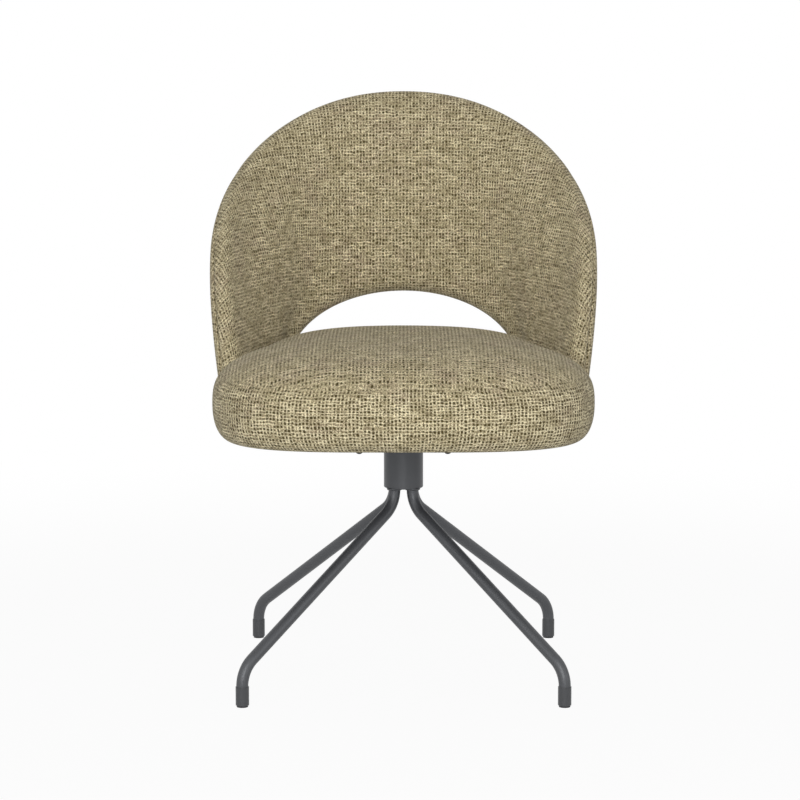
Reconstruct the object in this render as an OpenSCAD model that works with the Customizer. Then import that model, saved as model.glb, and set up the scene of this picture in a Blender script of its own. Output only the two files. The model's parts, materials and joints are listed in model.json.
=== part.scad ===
// Swivel dining chair: a padded seat and an arched, wrap-round padded back that turn
// together on a hub carried by four bent steel tubes. Millimetres, +Z up.
// The origin is the point on the floor straight below the swivel. The sitter faces -Y,
// and left and right are as seen by someone who looks at the front of the chair.
// The four legs, their foot sleeves and their pads come from one module each.

/* [Legs] */
// Outside diameter of a leg tube
leg_d = 16; // [12:0.5:22]
// Wall of a leg tube
leg_wall = 2; // [1:0.1:4]
// Distance from the swivel to the middle of a leg, under the hub
leg_top_r = 17.4; // [16:0.1:22]
// Distance from the swivel to the middle of a foot
foot_r = 300; // [240:1:360]
// Height where the neck and the sloping run of a leg would meet
leg_top_corner_z = 236; // [200:1:260]
// Height where the sloping run and the foot of a leg would meet
leg_foot_corner_z = 48.8; // [40:0.2:70]
// Radius of both bends, at the middle of the tube
leg_bend_r = 40; // [28:1:60]

/* [Feet] */
// Thickness of the felt pad under a foot
pad_t = 2; // [1:0.5:4]
// Diameter of the felt pad
pad_d = 15; // [10:0.5:17]
// Height of the sleeve on the end of a leg
sleeve_h = 25; // [16:1:40]
// Wall of that sleeve
sleeve_wall = 0.8; // [0.6:0.1:2]
// Thickness of the sleeve's floor
sleeve_floor = 2.6; // [1:0.1:4]
// Rounding of the sleeve's lower edge
sleeve_round = 1; // [0.5:0.1:2]

/* [Hub and swivel] */
// Outside diameter of the hub
hub_d = 54; // [50:0.5:70]
// Wall of the hub
hub_wall = 3; // [2:0.1:5]
// Height of the hub's lower end
hub_base_z = 258.5; // [240:0.5:290]
// Rounding of the hub's lower edge
hub_round = 1.5; // [0.5:0.1:2.5]
// Thickness of the disc that closes the hub
hub_floor_t = 4; // [2:0.1:6]
// Hole in that disc, which lets the key reach the retaining screw
key_hole_d = 8; // [5:0.5:12]
// Diameter of the turning spindle
spindle_d = 28; // [20:0.1:34]
// Height of each plastic bush
bush_h = 14; // [8:0.5:20]
// Thickness of the upper bush's collar
bush_collar_t = 2; // [1:0.1:4]
// Thickness of the thrust washer
thrust_t = 1.5; // [1:0.1:3]
// Thickness of the spindle's top flange
spindle_flange_t = 2.4; // [1.5:0.1:4]
// Diameter of the spindle's top flange
spindle_flange_d = 64; // [56:1:80]
// Diameter of the spigot that centres the seat plate
spigot_d = 20; // [14:0.5:26]
// Diameter of the washer that holds the spindle down
retainer_d = 40; // [34:0.5:46]
// Thickness of that washer
retainer_t = 2.5; // [1.5:0.1:4]

/* [Seat carrier] */
// Width of the square seat plate
plate_w = 150; // [130:1:200]
// Thickness of the seat plate
plate_t = 4; // [3:0.1:6]
// Radius of the plate's corners
plate_corner_r = 14; // [6:1:30]
// Distance from the swivel's middle plane to each seat bolt
bolt_reach = 60; // [45:1:80]
// Diameter of a seat bolt
bolt_d = 6; // [5:1:10]
// Diameter of a seat bolt's domed head
bolt_head_d = 10.5; // [9:0.5:18]
// Height of that head
bolt_head_h = 3.3; // [2:0.1:6]
// Diameter of a seat bolt's washer
washer_d = 13; // [12:0.5:22]
// Thickness of that washer
washer_t = 1.6; // [1:0.1:3]
// Width of a cross rail
rail_w = 30; // [20:1:40]
// Height of a cross rail
rail_h = 20; // [14:1:30]
// Wall of a cross rail
rail_wall = 1.5; // [1:0.1:3]
// Half length of a cross rail's level underside
rail_level_reach = 150; // [100:5:180]
// Height that a cross rail's underside rises from there to its ends
rail_end_rise = 8; // [0:1:11]
// Distance from the widest middle of the shell in to the inside face of a wing bracket
bracket_set_in = 49; // [40:0.5:60]
// Thickness of a wing bracket
bracket_t = 4; // [3:0.1:6]
// Height of a wing bracket's top above the seat's underside
bracket_rise = 82; // [60:1:100]
// Width of a wing bracket's upright
bracket_w = 56; // [40:1:70]
// Distance from the swivel to the middle of that upright, to the rear
bracket_y = 10; // [0:1:30]
// Diameter of a wing screw
screw_d = 5; // [4:0.5:6]
// Diameter of a wing screw's head
screw_head_d = 9.5; // [8:0.5:12]
// Height of a wing screw's head
screw_head_h = 2.4; // [1.5:0.1:4]
// Depth that a wing screw goes into the shell
screw_bite = 8; // [5:0.5:9.5]
// Diameter of a spacer between bracket and shell
spacer_d = 12; // [9:0.5:16]

/* [Seat] */
// Height of the seat's underside
seat_base_z = 342; // [320:1:380]
// Height of the seat's crown
seat_crown_z = 478; // [440:1:520]
// Height from the seat's underside up to where it is widest
seat_wide_rise = 52; // [30:1:80]
// Width of the seat in front of the wings
seat_w = 512; // [440:1:560]
// Distance from the swivel to the seat's front
seat_front = 262; // [220:1:300]
// Distance from the swivel to the seat's rear
seat_rear = 192; // [160:1:220]
// Width of the seat between the wings, before the wings shape it
seat_rear_w = 444; // [380:1:480]
// Distance that the seat's lower edge is drawn in
seat_draw_in = 28; // [15:1:40]
// Thickness of the seat board
board_t = 12; // [9:0.5:18]
// Distance from a wing bracket in to the board's edge between the wings
board_set_in = 30.5; // [25:0.5:60]
// Width of the cover's margin that is stapled under the board
hem_w = 22; // [12:1:40]
// Thickness of the fabric covers
cover_t = 1.6; // [1:0.1:3]

/* [Back] */
// Height of the back's top edge
back_top_z = 795; // [740:1:850]
// Thickness of the padded back
back_t = 48; // [36:1:60]
// Width of the back at its widest
back_w = 535.2; // [480:0.2:600]
// Height at which the back is widest
back_wide_z = 575; // [540:1:620]
// Distance from the swivel to the rear of the top edge
back_rear = 300; // [260:1:340]
// Lean of the back, in degrees
back_lean = 8; // [4:0.5:14]
// Distance from the swivel to the wings' front edges
wing_front = 60; // [40:1:90]
// Height of the wings' lower ends
wing_foot_z = 345; // [343:1:370]
// Length over which the wings' front edges stand upright
wing_upright_h = 55; // [35:1:95]
// Full width of the curve that the shell's middle follows in plan
shell_w = 513; // [480:1:560]
// Height at which that curve is widest
shell_wide_z = 690; // [640:1:740]
// How much half of that curve narrows down to the wings' lower ends
shell_narrowing = 39; // [20:1:60]
// Width of the opening between back and seat
opening_w = 326; // [260:1:360]
// Height of the opening's top
opening_top_z = 507; // [490:1:540]
// Height from the wings' lower ends up to where the opening is widest
opening_wide_rise = 55; // [35:1:75]
// How far the front padding swells beyond an even thickness
back_crown = 4; // [0:0.5:10]
// Thickness of the moulded plywood in the back
shell_t = 10; // [8:0.5:14]
// Padding between the plywood and the rear cover
rear_pad_t = 8; // [5:0.5:12]
// Height over which the wings' lower ends are rounded
wing_round_h = 6; // [4:0.5:12]

/* [Fits] */
// Running clearance of the spindle in its bushes, on the radius
running_gap = 0.06; // [0.02:0.01:0.1]
// Clearance of a bush or spigot in the piece that it is pressed into, on the radius
press_gap = 0.05; // [0.02:0.01:0.1]
// Clearance of a screw or bolt in its hole, on the radius
hole_gap = 0.3; // [0.1:0.05:0.5]
// Clearance between stacked layers of padding, cloth and wood
layer_gap = 0.2; // [0.1:0.05:0.4]
// Clearance between the seat and the wings
wing_gap = 0.5; // [0.3:0.1:1]
// Up-and-down play of the retaining washer
end_play = 0.4; // [0.2:0.1:1]

/* [Hidden] */
// How far a cut runs past the faces that it opens
over = 2;
// Step by which a slope of the shell is measured
slope_step = 0.5;
slope_turn = 0.1;
$fn = 72;

// Exponents of the rounded outlines: 2 is an ellipse, and more is squarer
shell_plan_pow = 2.7;
rim_pow = 2.13;
shell_taper_pow = 1.4;
wing_lean_pow = 1.6;
seat_front_pow = 3.1;
seat_rear_pow = 3;
seat_dome_pow = 2.9;
seat_edge_pow = 3.1;
seat_under_pow = 2.2;

// Directions in which the seat's outline passes from its rear to its front form
shoulder_from = 81;
shoulder_to = 97;

// Steps along the padded forms
arch_steps = 9;
wing_steps = 3;
face_steps = 5;
rim_steps = 5;
rear_rim_steps = 2;
band_steps = 6;
seat_turn_steps = 40;
seat_top_steps = 6;
seat_under_steps = 3;

// Share of full size at the very end of a wing, where it is rounded
wing_end_share = 0.8;
// Angle from the rim's edge, towards the rear, at which the covers are sewn together
seam_angle = 45;

leg_r = leg_d / 2;
leg_bore_r = leg_r - leg_wall;
leg_turn = 90 - atan2(leg_top_corner_z - leg_foot_corner_z, foot_r - leg_top_r);
leg_tangent = leg_bend_r * tan(leg_turn / 2);
leg_neck_z = leg_top_corner_z + leg_tangent;
leg_ankle_z = leg_foot_corner_z - leg_tangent;
leg_run = norm([foot_r - leg_top_r, leg_top_corner_z - leg_foot_corner_z]) - 2 * leg_tangent;
leg_end_z = pad_t + sleeve_floor + layer_gap;
sleeve_bore_r = leg_r + press_gap;
sleeve_r = sleeve_bore_r + sleeve_wall;
leg_azimuths = [-45, -135, 45, 135];

hub_r = hub_d / 2;
hub_bore_r = hub_r - hub_wall;
spindle_r = spindle_d / 2;
bush_bore_r = spindle_r + running_gap;

rail_top_z = seat_base_z;
rail_base_z = rail_top_z - rail_h;
plate_base_z = rail_base_z - plate_t;
flange_base_z = plate_base_z - spindle_flange_t;
thrust_base_z = flange_base_z - thrust_t;
hub_top_z = thrust_base_z - bush_collar_t;
lower_bush_z = hub_base_z + hub_floor_t + 2 * bolt_head_h + retainer_t + 2 * end_play;
spindle_end_z = lower_bush_z - end_play;
retainer_z = spindle_end_z - retainer_t;
washer_base_z = plate_base_z - washer_t;

board_z = seat_base_z + cover_t + layer_gap;
board_top_z = board_z + board_t;
nut_barrel_r = bolt_d / 2 + 1.2 * rail_wall;
nut_flange_r = 1.4 * nut_barrel_r;
nut_flange_t = rail_wall;
bracket_in = shell_w / 2 - bracket_set_in;
board_rear_half_w = bracket_in - board_set_in;
bracket_out = bracket_in + bracket_t;
rail_end_z = rail_base_z + rail_end_rise;
bracket_top_z = seat_base_z + bracket_rise;
screw_edge = 1.6 * spacer_d / 2;
screw_ys = [bracket_y - bracket_w / 2 + screw_edge, bracket_y + bracket_w / 2 - screw_edge];
screw_zs = [wing_foot_z + 1.5 * spacer_d, bracket_top_z - screw_edge];
pocket_margin = 2 * screw_head_h;

seat_wide_z = seat_base_z + seat_wide_rise;
board_inset = seat_draw_in + cover_t + 2 * layer_gap;

half_t = back_t / 2;
wing_upright_z = wing_foot_z + wing_upright_h;
opening_wide_z = wing_foot_z + opening_wide_rise;
wing_y = half_t - wing_front;
rim_top_z = back_top_z - half_t;
rim_half_w = back_w / 2 - half_t;
rim_rise = rim_top_z - back_wide_z;
opening_half_w = opening_w / 2 + half_t;
opening_rise = opening_top_z + half_t - opening_wide_z;
wing_core_z = wing_foot_z + wing_round_h;
core_rear = cover_t + rear_pad_t + 2 * layer_gap - half_t;
core_front = core_rear + shell_t;
side_steps = arch_steps + wing_steps + 1;

// Outlines shared by the padded forms

// Distance from the middle of a rounded outline to its edge, in the direction with
// the given sine and cosine, for half sizes a and b
function oval_r(a, b, p, s, c) = pow(pow(abs(s / a), p) + pow(abs(c / b), p), -1 / p);

// Half width of the shell's plan curve at a height
function shell_half_w(z) = shell_w / 2
    - shell_narrowing * pow(abs(z - shell_wide_z) / (shell_wide_z - wing_foot_z), shell_taper_pow);

// Depth of the shell's plan curve at a height, from the wings to the rear
function shell_depth(z) = back_rear - half_t - (rim_top_z - z) * tan(back_lean) - wing_y;

// Point on the middle of the shell. The turn is 0 at the rear and 90 at a wing's front edge.
function shell_point(turn, z) =
    let (r = oval_r(shell_half_w(z), shell_depth(z), shell_plan_pow, sin(turn), cos(turn)))
    [r * sin(turn), wing_y + r * cos(turn), z];

// Turn at which the shell's middle passes a distance x from the middle plane
function turn_at_x(x, z) =
    let (share = min(1, abs(x) / shell_half_w(z)))
    atan2(x, shell_depth(z) * pow(1 - pow(share, shell_plan_pow), 1 / shell_plan_pow));

// Turn at which the shell's middle passes a distance y behind the wings
function turn_at_y(y, z) =
    let (share = min(1, max(0, y / shell_depth(z))))
    atan2(shell_half_w(z) * pow(1 - pow(share, shell_plan_pow), 1 / shell_plan_pow), y);

// Unit vector off the shell, towards the sitter
function shell_off(turn, z) =
    let (
        along = shell_point(turn + slope_turn, z) - shell_point(turn - slope_turn, z),
        up = shell_point(turn, z + slope_step) - shell_point(turn, z - slope_step),
        out = cross(along, up)
    )
    out / norm(out);

// Distance from the middle plane to the plywood's inner face at a place beside the seat
function shell_inner_x(y, z) =
    let (turn = turn_at_y(y - wing_y, z))
    shell_point(turn, z)[0] + core_front * shell_off(turn, z)[0];

// Distance that a wing's front edge has gone back where its upright part ends
rim_back = let (turn = turn_at_x(rim_half_w, back_wide_z)) shell_point(turn, back_wide_z)[1] - wing_y;

// Turn and height of the outer rim's middle, at a step from the top to a wing's end
function rim_place(step) =
    step <= arch_steps
    ? let (
        a = 90 * step / arch_steps,
        r = oval_r(rim_half_w, rim_rise, rim_pow, sin(a), cos(a)),
        z = back_wide_z + r * cos(a)
    )
    [turn_at_x(r * sin(a), z), z]
    : let (
        z = wing_height(back_wide_z, step),
        share = max(0, (z - wing_upright_z) / (back_wide_z - wing_upright_z))
    )
    [turn_at_y(rim_back * pow(share, wing_lean_pow), z), z];

// Turn and height of the opening's rim, at the same step
function opening_place(step) =
    let (
        a = 90 * min(1, step / arch_steps),
        z = step <= arch_steps ? opening_wide_z + opening_rise * cos(a) : wing_height(opening_wide_z, step)
    )
    [turn_at_x(opening_half_w * sin(a), z), z];

// Height at a step of a wing whose upright part begins at the height given
function wing_height(from_z, step) =
    step > arch_steps + wing_steps
    ? wing_foot_z
    : from_z + (wing_core_z - from_z) * (step - arch_steps) / wing_steps;

// Place on the shell between the opening's rim (share 0) and the outer rim (share 1)
function band_place(inner, outer, share) = inner + (outer - inner) * share;

// Length of the shell between its two rims
function band_length(inner, outer) =
    let (
        points = [
            for (k = [0:band_steps])
            let (place = band_place(inner, outer, k / band_steps))
            shell_point(place[0], place[1])
        ]
    )
    add_up([for (k = [1:band_steps]) norm(points[k] - points[k - 1])]);

function add_up(list, k = 0) = k < len(list) ? list[k] + add_up(list, k + 1) : 0;

// Each point of a section is [share across the band, distance past that share, distance
// off the shell]. A skin is drawn in at a wing's end, and the pocket for the shell, whose
// points have a fourth value, isn't. The rings at a wing's end lie flat.
function section_point(step, spot) =
    let (
        side = step < 0 ? -1 : 1,
        size = abs(step) > arch_steps + wing_steps && len(spot) < 4 ? wing_end_share : 1,
        inner = opening_place(abs(step)),
        outer = rim_place(abs(step)),
        share = spot[0] + size * spot[1] / band_length(inner, outer),
        place = band_place(inner, outer, share),
        p = shell_point(place[0], place[1]) + size * spot[2] * shell_off(place[0], place[1])
    )
    [side * p[0], p[1], abs(step) < arch_steps + wing_steps ? p[2] : place[1]];

// Round edge of a section, between two angles from its tip; side is 1 at the outer rim
// and -1 at the opening
function rim_arc(side, r, from_a, to_a, steps) = [
    for (k = [0:steps])
    let (a = from_a + (to_a - from_a) * k / steps)
    [(side + 1) / 2, side * r * cos(a), r * sin(a)]
];

// Swollen front face of a section, from the outer rim to the opening
function front_face(r) = [
    for (k = [1:face_steps - 1])
    let (share = 1 - k / face_steps)
    [share, 0, r + back_crown * (1 - pow(2 * share - 1, 2))]
];

// Even face of a section's skin at a distance off the shell
function even_face(off, from_share, to_share) = [
    for (k = [1:face_steps - 1])
    [from_share + (to_share - from_share) * k / face_steps, 0, off]
];

// Face of the pocket for the shell, from one rim to the other
function pocket_face(off, past, from_share, to_share) = [
    for (k = [0:face_steps])
    let (share = from_share + (to_share - from_share) * k / face_steps)
    [share, k == 0 || k == face_steps ? (2 * share - 1) * past : 0, off, 1]
];

function reversed(list) = [for (k = [len(list) - 1:-1:0]) list[k]];
function but_last(list) = [for (k = [0:len(list) - 2]) list[k]];

// Angle by which a seam stands open on a radius
function seam_open(r) = layer_gap / 2 / r * 180 / PI;

// Skin of a section's front, from seam to seam
function front_skin(r) = concat(
    rim_arc(1, r, seam_open(r) - seam_angle, 90, rim_steps),
    front_face(r),
    rim_arc(-1, r, 90, seam_open(r) - seam_angle, rim_steps)
);

// Skin of a section's rear, from seam to seam
function rear_skin(r) = concat(
    rim_arc(1, r, -seam_open(r) - seam_angle, -90, rear_rim_steps),
    even_face(-r, 1, 0),
    rim_arc(-1, r, -90, -seam_open(r) - seam_angle, rear_rim_steps)
);

pad_r = half_t - cover_t - layer_gap;

// Each layer's section is a part that runs from the outer rim to the opening, and a part
// that runs back
front_cover_section = [front_skin(half_t), reversed(front_skin(half_t - cover_t))];
rear_cover_section = [rear_skin(half_t - cover_t), reversed(rear_skin(half_t))];
front_foam_section = [
    front_skin(pad_r),
    concat(
        [[0, -layer_gap, core_rear, 1]],
        pocket_face(core_front + layer_gap, layer_gap, 0, 1),
        [[1, layer_gap, core_rear, 1]]
    )
];
rear_foam_section = [
    concat([rear_skin(pad_r)[0]], but_last(pocket_face(core_rear - layer_gap, layer_gap, 1, 0))),
    concat([[0, -layer_gap, core_rear - layer_gap, 1]], but_last(reversed(rear_skin(pad_r))))
];
shell_section = [
    concat([[1, 0, core_rear, 1]], pocket_face(core_front, 0, 1, 0)),
    but_last(pocket_face(core_rear, 0, 0, 1))
];
whole_section = [front_skin(half_t + wing_gap), reversed(rear_skin(half_t + wing_gap))];

// Two triangles between four corners; the way they share leans the other way if asked
function quad(a, b, c, d, other) = other ? [[a, d, b], [b, d, c]] : [[a, c, b], [a, d, c]];

// Triangles over the end of a section, between its part that runs to the opening, of the
// first count of points, and its part that runs back
function end_cap(there, back) = concat(
    [
        for (k = [0:there - 2])
        [k, k + 1, there + back - ceil((k + 1) * (back - 1) / (there - 1))]
    ],
    [
        for (j = [0:back - 2])
        [there + back - 2 - j, there + back - 1 - j, floor((j + 1) * (there - 1) / (back - 1))]
    ]
);

// Solid that carries a section from one step of the back to another. Faces of two layers
// that lie together are split the same way, and so are mirrored faces.
module carry_section(section, from_step, to_step) {
    spots = concat(section[0], section[1]);
    there = len(section[0]);
    n = len(spots);
    m = to_step - from_step;
    points = [
        for (step = [from_step:to_step])
        for (spot = spots)
        section_point(step, spot)
    ];
    sides = [
        for (i = [0:m - 1])
        for (j = [0:n - 1])
        let (a = i * n + j, b = i * n + (j + 1) % n)
        each quad(a, b, b + n, a + n, (j < there) == (from_step + i < 0))
    ];
    cap = end_cap(there, n - there);
    polyhedron(points, concat(sides, cap, [for (f = cap) [for (j = reversed(f)) m * n + j]]));
}

// Distance from the wings' middle to the seat's outline, in a direction from the rear
function seat_r(turn) =
    let (
        s = sin(turn),
        c = cos(turn),
        front_r = oval_r(seat_w / 2, seat_front - wing_front, seat_front_pow, s, c),
        rear_r = oval_r(seat_rear_w / 2, seat_rear + wing_front, seat_rear_pow, s, c),
        a = abs(turn > 180 ? turn - 360 : turn),
        part = min(1, max(0, (a - shoulder_from) / (shoulder_to - shoulder_from))),
        share = part * part * (3 - 2 * part)
    )
    rear_r + (front_r - rear_r) * share;

function seat_place(turn, r, z) = [r * sin(turn), r * cos(turn) - wing_front, z];

// Rings of the seat's skin, drawn in by a distance: the dome, the widest ring, the under edge
function seat_ring(turn, k, inset) =
    k <= seat_top_steps
    ? let (
        share = 1 - pow(1 - k / seat_top_steps, 1.8),
        rise = pow(1 - pow(share, seat_dome_pow), 1 / seat_edge_pow)
    )
    seat_place(turn, (seat_r(turn) - inset) * share, seat_wide_z + (seat_crown_z - inset - seat_wide_z) * rise)
    : let (
        a = 90 * (k - seat_top_steps) / seat_under_steps,
        drop = pow(sin(a), 2 / seat_under_pow),
        draw = 1 - pow(cos(a), 2 / seat_under_pow)
    )
    seat_place(
        turn,
        seat_r(turn) - inset - (seat_draw_in - inset / 2) * draw,
        seat_wide_z - (seat_wide_z - seat_base_z - inset) * drop
    );

seat_rings = seat_top_steps + seat_under_steps;
seat_turns = [for (j = [0:seat_turn_steps - 1]) 360 * j / seat_turn_steps];

function seat_skin(inset) = concat(
    [[0, -wing_front, seat_crown_z - inset]],
    [for (k = [1:seat_rings]) for (turn = seat_turns) seat_ring(turn, k, inset)]
);

// Triangles of a skin whose points begin at a place in a list
function skin_sides(first, rings) = concat(
    [for (j = [0:seat_turn_steps - 1]) [first, first + 1 + j, first + 1 + (j + 1) % seat_turn_steps]],
    [
        for (k = [0:rings - 2])
        for (j = [0:seat_turn_steps - 1])
        let (
            a = first + 1 + k * seat_turn_steps + j,
            b = first + 1 + k * seat_turn_steps + (j + 1) % seat_turn_steps
        )
        each [[a, b + seat_turn_steps, b], [a, a + seat_turn_steps, b + seat_turn_steps]]
    ]
);

function turned(faces) = [for (f = faces) reversed(f)];

// Filled form of the seat
module seat_form(inset) {
    n = seat_turn_steps;
    last = 1 + (seat_rings - 1) * n;
    polyhedron(
        seat_skin(inset),
        concat(skin_sides(0, seat_rings), [reversed([for (j = [0:n - 1]) last + j])])
    );
}

// Outline of the board, or of a cloth below it, drawn in from the seat's outline
module seat_outline(inset) {
    polygon([
        for (turn = seat_turns)
        let (p = seat_place(turn, seat_r(turn) - inset, 0))
        [p[0], p[1]]
    ]);
}

// Room that both wings take up beside the seat
module wing_room() {
    for (side = [0, 1]) {
        mirror([side, 0, 0])
            translate([0, 0, -wing_gap])
                carry_section(whole_section, arch_steps - 1, side_steps);
    }
}

// Region that the board keeps to, so that it passes between the wings
module board_region(gap, height) {
    translate([-board_rear_half_w - gap, -seat_front, -over])
        cube([2 * (board_rear_half_w + gap), seat_front + seat_rear, height + 2 * over]);
    translate([-seat_w / 2, -seat_front, -over])
        cube([seat_w, seat_front - wing_front - wing_gap - over + gap, height + 2 * over]);
}

module ring(outer_r, inner_r, height) {
    difference() {
        cylinder(r = outer_r, h = height);
        translate([0, 0, -over])
            cylinder(r = inner_r, h = height + 2 * over);
    }
}

module at_seat_bolts() {
    for (x = [-bolt_reach, bolt_reach]) {
        for (y = [-bolt_reach, bolt_reach]) {
            translate([x, y, 0])
                children();
        }
    }
}

// Places of a wing's four screws, with the screw's axis along +Z of the child
module at_wing_screws(side) {
    for (y = screw_ys) {
        for (z = screw_zs) {
            translate([side * bracket_in, y, z])
                rotate([0, 90 * side, 0])
                    children();
        }
    }
}

// Legs and feet

module tube_section() {
    difference() {
        circle(r = leg_r);
        circle(r = leg_bore_r);
    }
}

// Straight length of tube along +Z, with the children at its far end
module straight(length) {
    linear_extrude(length)
        tube_section();
    translate([0, 0, length])
        children();
}

// Bend of the tube, from +Z towards +X for a side of 1 and -X for -1, with the children
// at its far end
module bend(side) {
    translate([side * leg_bend_r, 0, 0]) {
        rotate([90, 0, side > 0 ? 180 : 0])
            rotate_extrude(angle = leg_turn)
                translate([leg_bend_r, 0])
                    tube_section();
        rotate([0, side * leg_turn, 0])
            translate([-side * leg_bend_r, 0, 0])
                children();
    }
}

module leg(azimuth) {
    color("dimgray")
        rotate([0, 0, azimuth])
            translate([leg_top_r, 0, hub_base_z])
                rotate([180, 0, 0])
                    straight(hub_base_z - leg_neck_z)
                        bend(1)
                            straight(leg_run)
                                bend(-1)
                                    straight(leg_ankle_z - leg_end_z);
}

module foot_sleeve(azimuth) {
    color("black")
        rotate([0, 0, azimuth])
            translate([foot_r, 0, pad_t])
                difference() {
                    union() {
                        translate([0, 0, sleeve_round])
                            cylinder(r = sleeve_r, h = sleeve_h - sleeve_round);
                        rotate_extrude() {
                            square([sleeve_r - sleeve_round, sleeve_round]);
                            intersection() {
                                translate([sleeve_r - sleeve_round, sleeve_round])
                                    circle(r = sleeve_round);
                                square([sleeve_r, sleeve_round]);
                            }
                        }
                    }
                    translate([0, 0, sleeve_floor])
                        cylinder(r = sleeve_bore_r, h = sleeve_h);
                }
}

module foot_pad(azimuth) {
    color("gray")
        rotate([0, 0, azimuth])
            translate([foot_r, 0, 0])
                cylinder(d = pad_d, h = pad_t);
}

module leg_front_left() { leg(leg_azimuths[1]); }
module leg_front_right() { leg(leg_azimuths[0]); }
module leg_rear_left() { leg(leg_azimuths[3]); }
module leg_rear_right() { leg(leg_azimuths[2]); }
module foot_sleeve_front_left() { foot_sleeve(leg_azimuths[1]); }
module foot_sleeve_front_right() { foot_sleeve(leg_azimuths[0]); }
module foot_sleeve_rear_left() { foot_sleeve(leg_azimuths[3]); }
module foot_sleeve_rear_right() { foot_sleeve(leg_azimuths[2]); }
module foot_pad_front_left() { foot_pad(leg_azimuths[1]); }
module foot_pad_front_right() { foot_pad(leg_azimuths[0]); }
module foot_pad_rear_left() { foot_pad(leg_azimuths[3]); }
module foot_pad_rear_right() { foot_pad(leg_azimuths[2]); }

// Hub and swivel

module hub_tube() {
    color("dimgray")
        translate([0, 0, hub_base_z])
            difference() {
                union() {
                    translate([0, 0, hub_round])
                        cylinder(r = hub_r, h = hub_top_z - hub_base_z - hub_round);
                    rotate_extrude() {
                        square([hub_r - hub_round, hub_round]);
                        intersection() {
                            translate([hub_r - hub_round, hub_round])
                                circle(r = hub_round);
                            square([hub_r, hub_round]);
                        }
                    }
                }
                translate([0, 0, -over])
                    cylinder(r = hub_bore_r, h = hub_top_z - hub_base_z + 2 * over);
            }
}

module hub_floor() {
    color("dimgray")
        translate([0, 0, hub_base_z])
            ring(hub_bore_r - press_gap, key_hole_d / 2, hub_floor_t);
}

module lower_bush() {
    color("white")
        translate([0, 0, lower_bush_z])
            ring(hub_bore_r - press_gap, bush_bore_r, bush_h);
}

module upper_bush() {
    color("white")
        difference() {
            union() {
                translate([0, 0, hub_top_z - bush_h])
                    cylinder(r = hub_bore_r - press_gap, h = bush_h);
                translate([0, 0, hub_top_z])
                    cylinder(r = hub_r - hub_round / 2, h = bush_collar_t);
            }
            translate([0, 0, hub_top_z - bush_h - over])
                cylinder(r = bush_bore_r, h = bush_h + bush_collar_t + 2 * over);
        }
}

module thrust_washer() {
    color("silver")
        translate([0, 0, thrust_base_z])
            ring(hub_r - hub_round, bush_bore_r + hole_gap, thrust_t);
}

module spindle() {
    color("silver")
        difference() {
            union() {
                translate([0, 0, spindle_end_z])
                    cylinder(r = spindle_r, h = flange_base_z - spindle_end_z);
                translate([0, 0, flange_base_z])
                    cylinder(d = spindle_flange_d, h = spindle_flange_t);
                translate([0, 0, plate_base_z])
                    cylinder(d = spigot_d, h = plate_t);
            }
            translate([0, 0, spindle_end_z - over])
                cylinder(r = bolt_d / 2 + press_gap, h = bush_h + over);
        }
}

module retaining_washer() {
    color("silver")
        translate([0, 0, retainer_z])
            ring(retainer_d / 2, bolt_d / 2 + press_gap, retainer_t);
}

module retaining_screw() {
    color("black")
        translate([0, 0, retainer_z]) {
            cylinder(d = bolt_d, h = retainer_t + bush_h - over);
            domed_head(bolt_head_d / 2, bolt_head_h);
        }
}

// Domed head that hangs below z = 0, with a six-sided socket
module domed_head(r, height) {
    dome_r = (r * r + height * height) / (2 * height);
    difference() {
        intersection() {
            translate([0, 0, dome_r - height])
                sphere(r = dome_r);
            translate([0, 0, -height])
                cylinder(r = r + over, h = height);
        }
        translate([0, 0, -height - over])
            cylinder(r = r / 2.6, h = height / 2 + over, $fn = 6);
    }
}

// Seat carrier

module rounded_plate(w, r, t) {
    linear_extrude(t) {
        square([w, w - 2 * r], center = true);
        square([w - 2 * r, w], center = true);
        for (x = [-1, 1]) {
            for (y = [-1, 1]) {
                translate([x * (w / 2 - r), y * (w / 2 - r)])
                    circle(r = r);
            }
        }
    }
}

module seat_plate() {
    color("dimgray")
        difference() {
            translate([0, 0, plate_base_z])
                rounded_plate(plate_w, plate_corner_r, plate_t);
            translate([0, 0, plate_base_z - over])
                cylinder(r = spigot_d / 2 + press_gap, h = plate_t + 2 * over);
            at_seat_bolts()
                translate([0, 0, plate_base_z - over])
                    cylinder(r = bolt_d / 2 + hole_gap, h = plate_t + 2 * over);
        }
}

module seat_bolts() {
    color("black")
        at_seat_bolts()
            translate([0, 0, washer_base_z]) {
                cylinder(d = bolt_d, h = board_top_z - washer_base_z - over);
                domed_head(bolt_head_d / 2, bolt_head_h);
            }
}

module seat_washers() {
    color("silver")
        at_seat_bolts()
            translate([0, 0, washer_base_z])
                ring(washer_d / 2, bolt_d / 2 + hole_gap, washer_t);
}

module seat_nuts() {
    color("silver")
        at_seat_bolts()
            difference() {
                union() {
                    translate([0, 0, board_z])
                        cylinder(r = nut_barrel_r, h = board_t - nut_flange_t);
                    translate([0, 0, board_top_z - nut_flange_t])
                        cylinder(r = nut_flange_r, h = nut_flange_t);
                }
                translate([0, 0, board_z - over])
                    cylinder(r = bolt_d / 2 + press_gap, h = board_t + 2 * over);
            }
}

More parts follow.
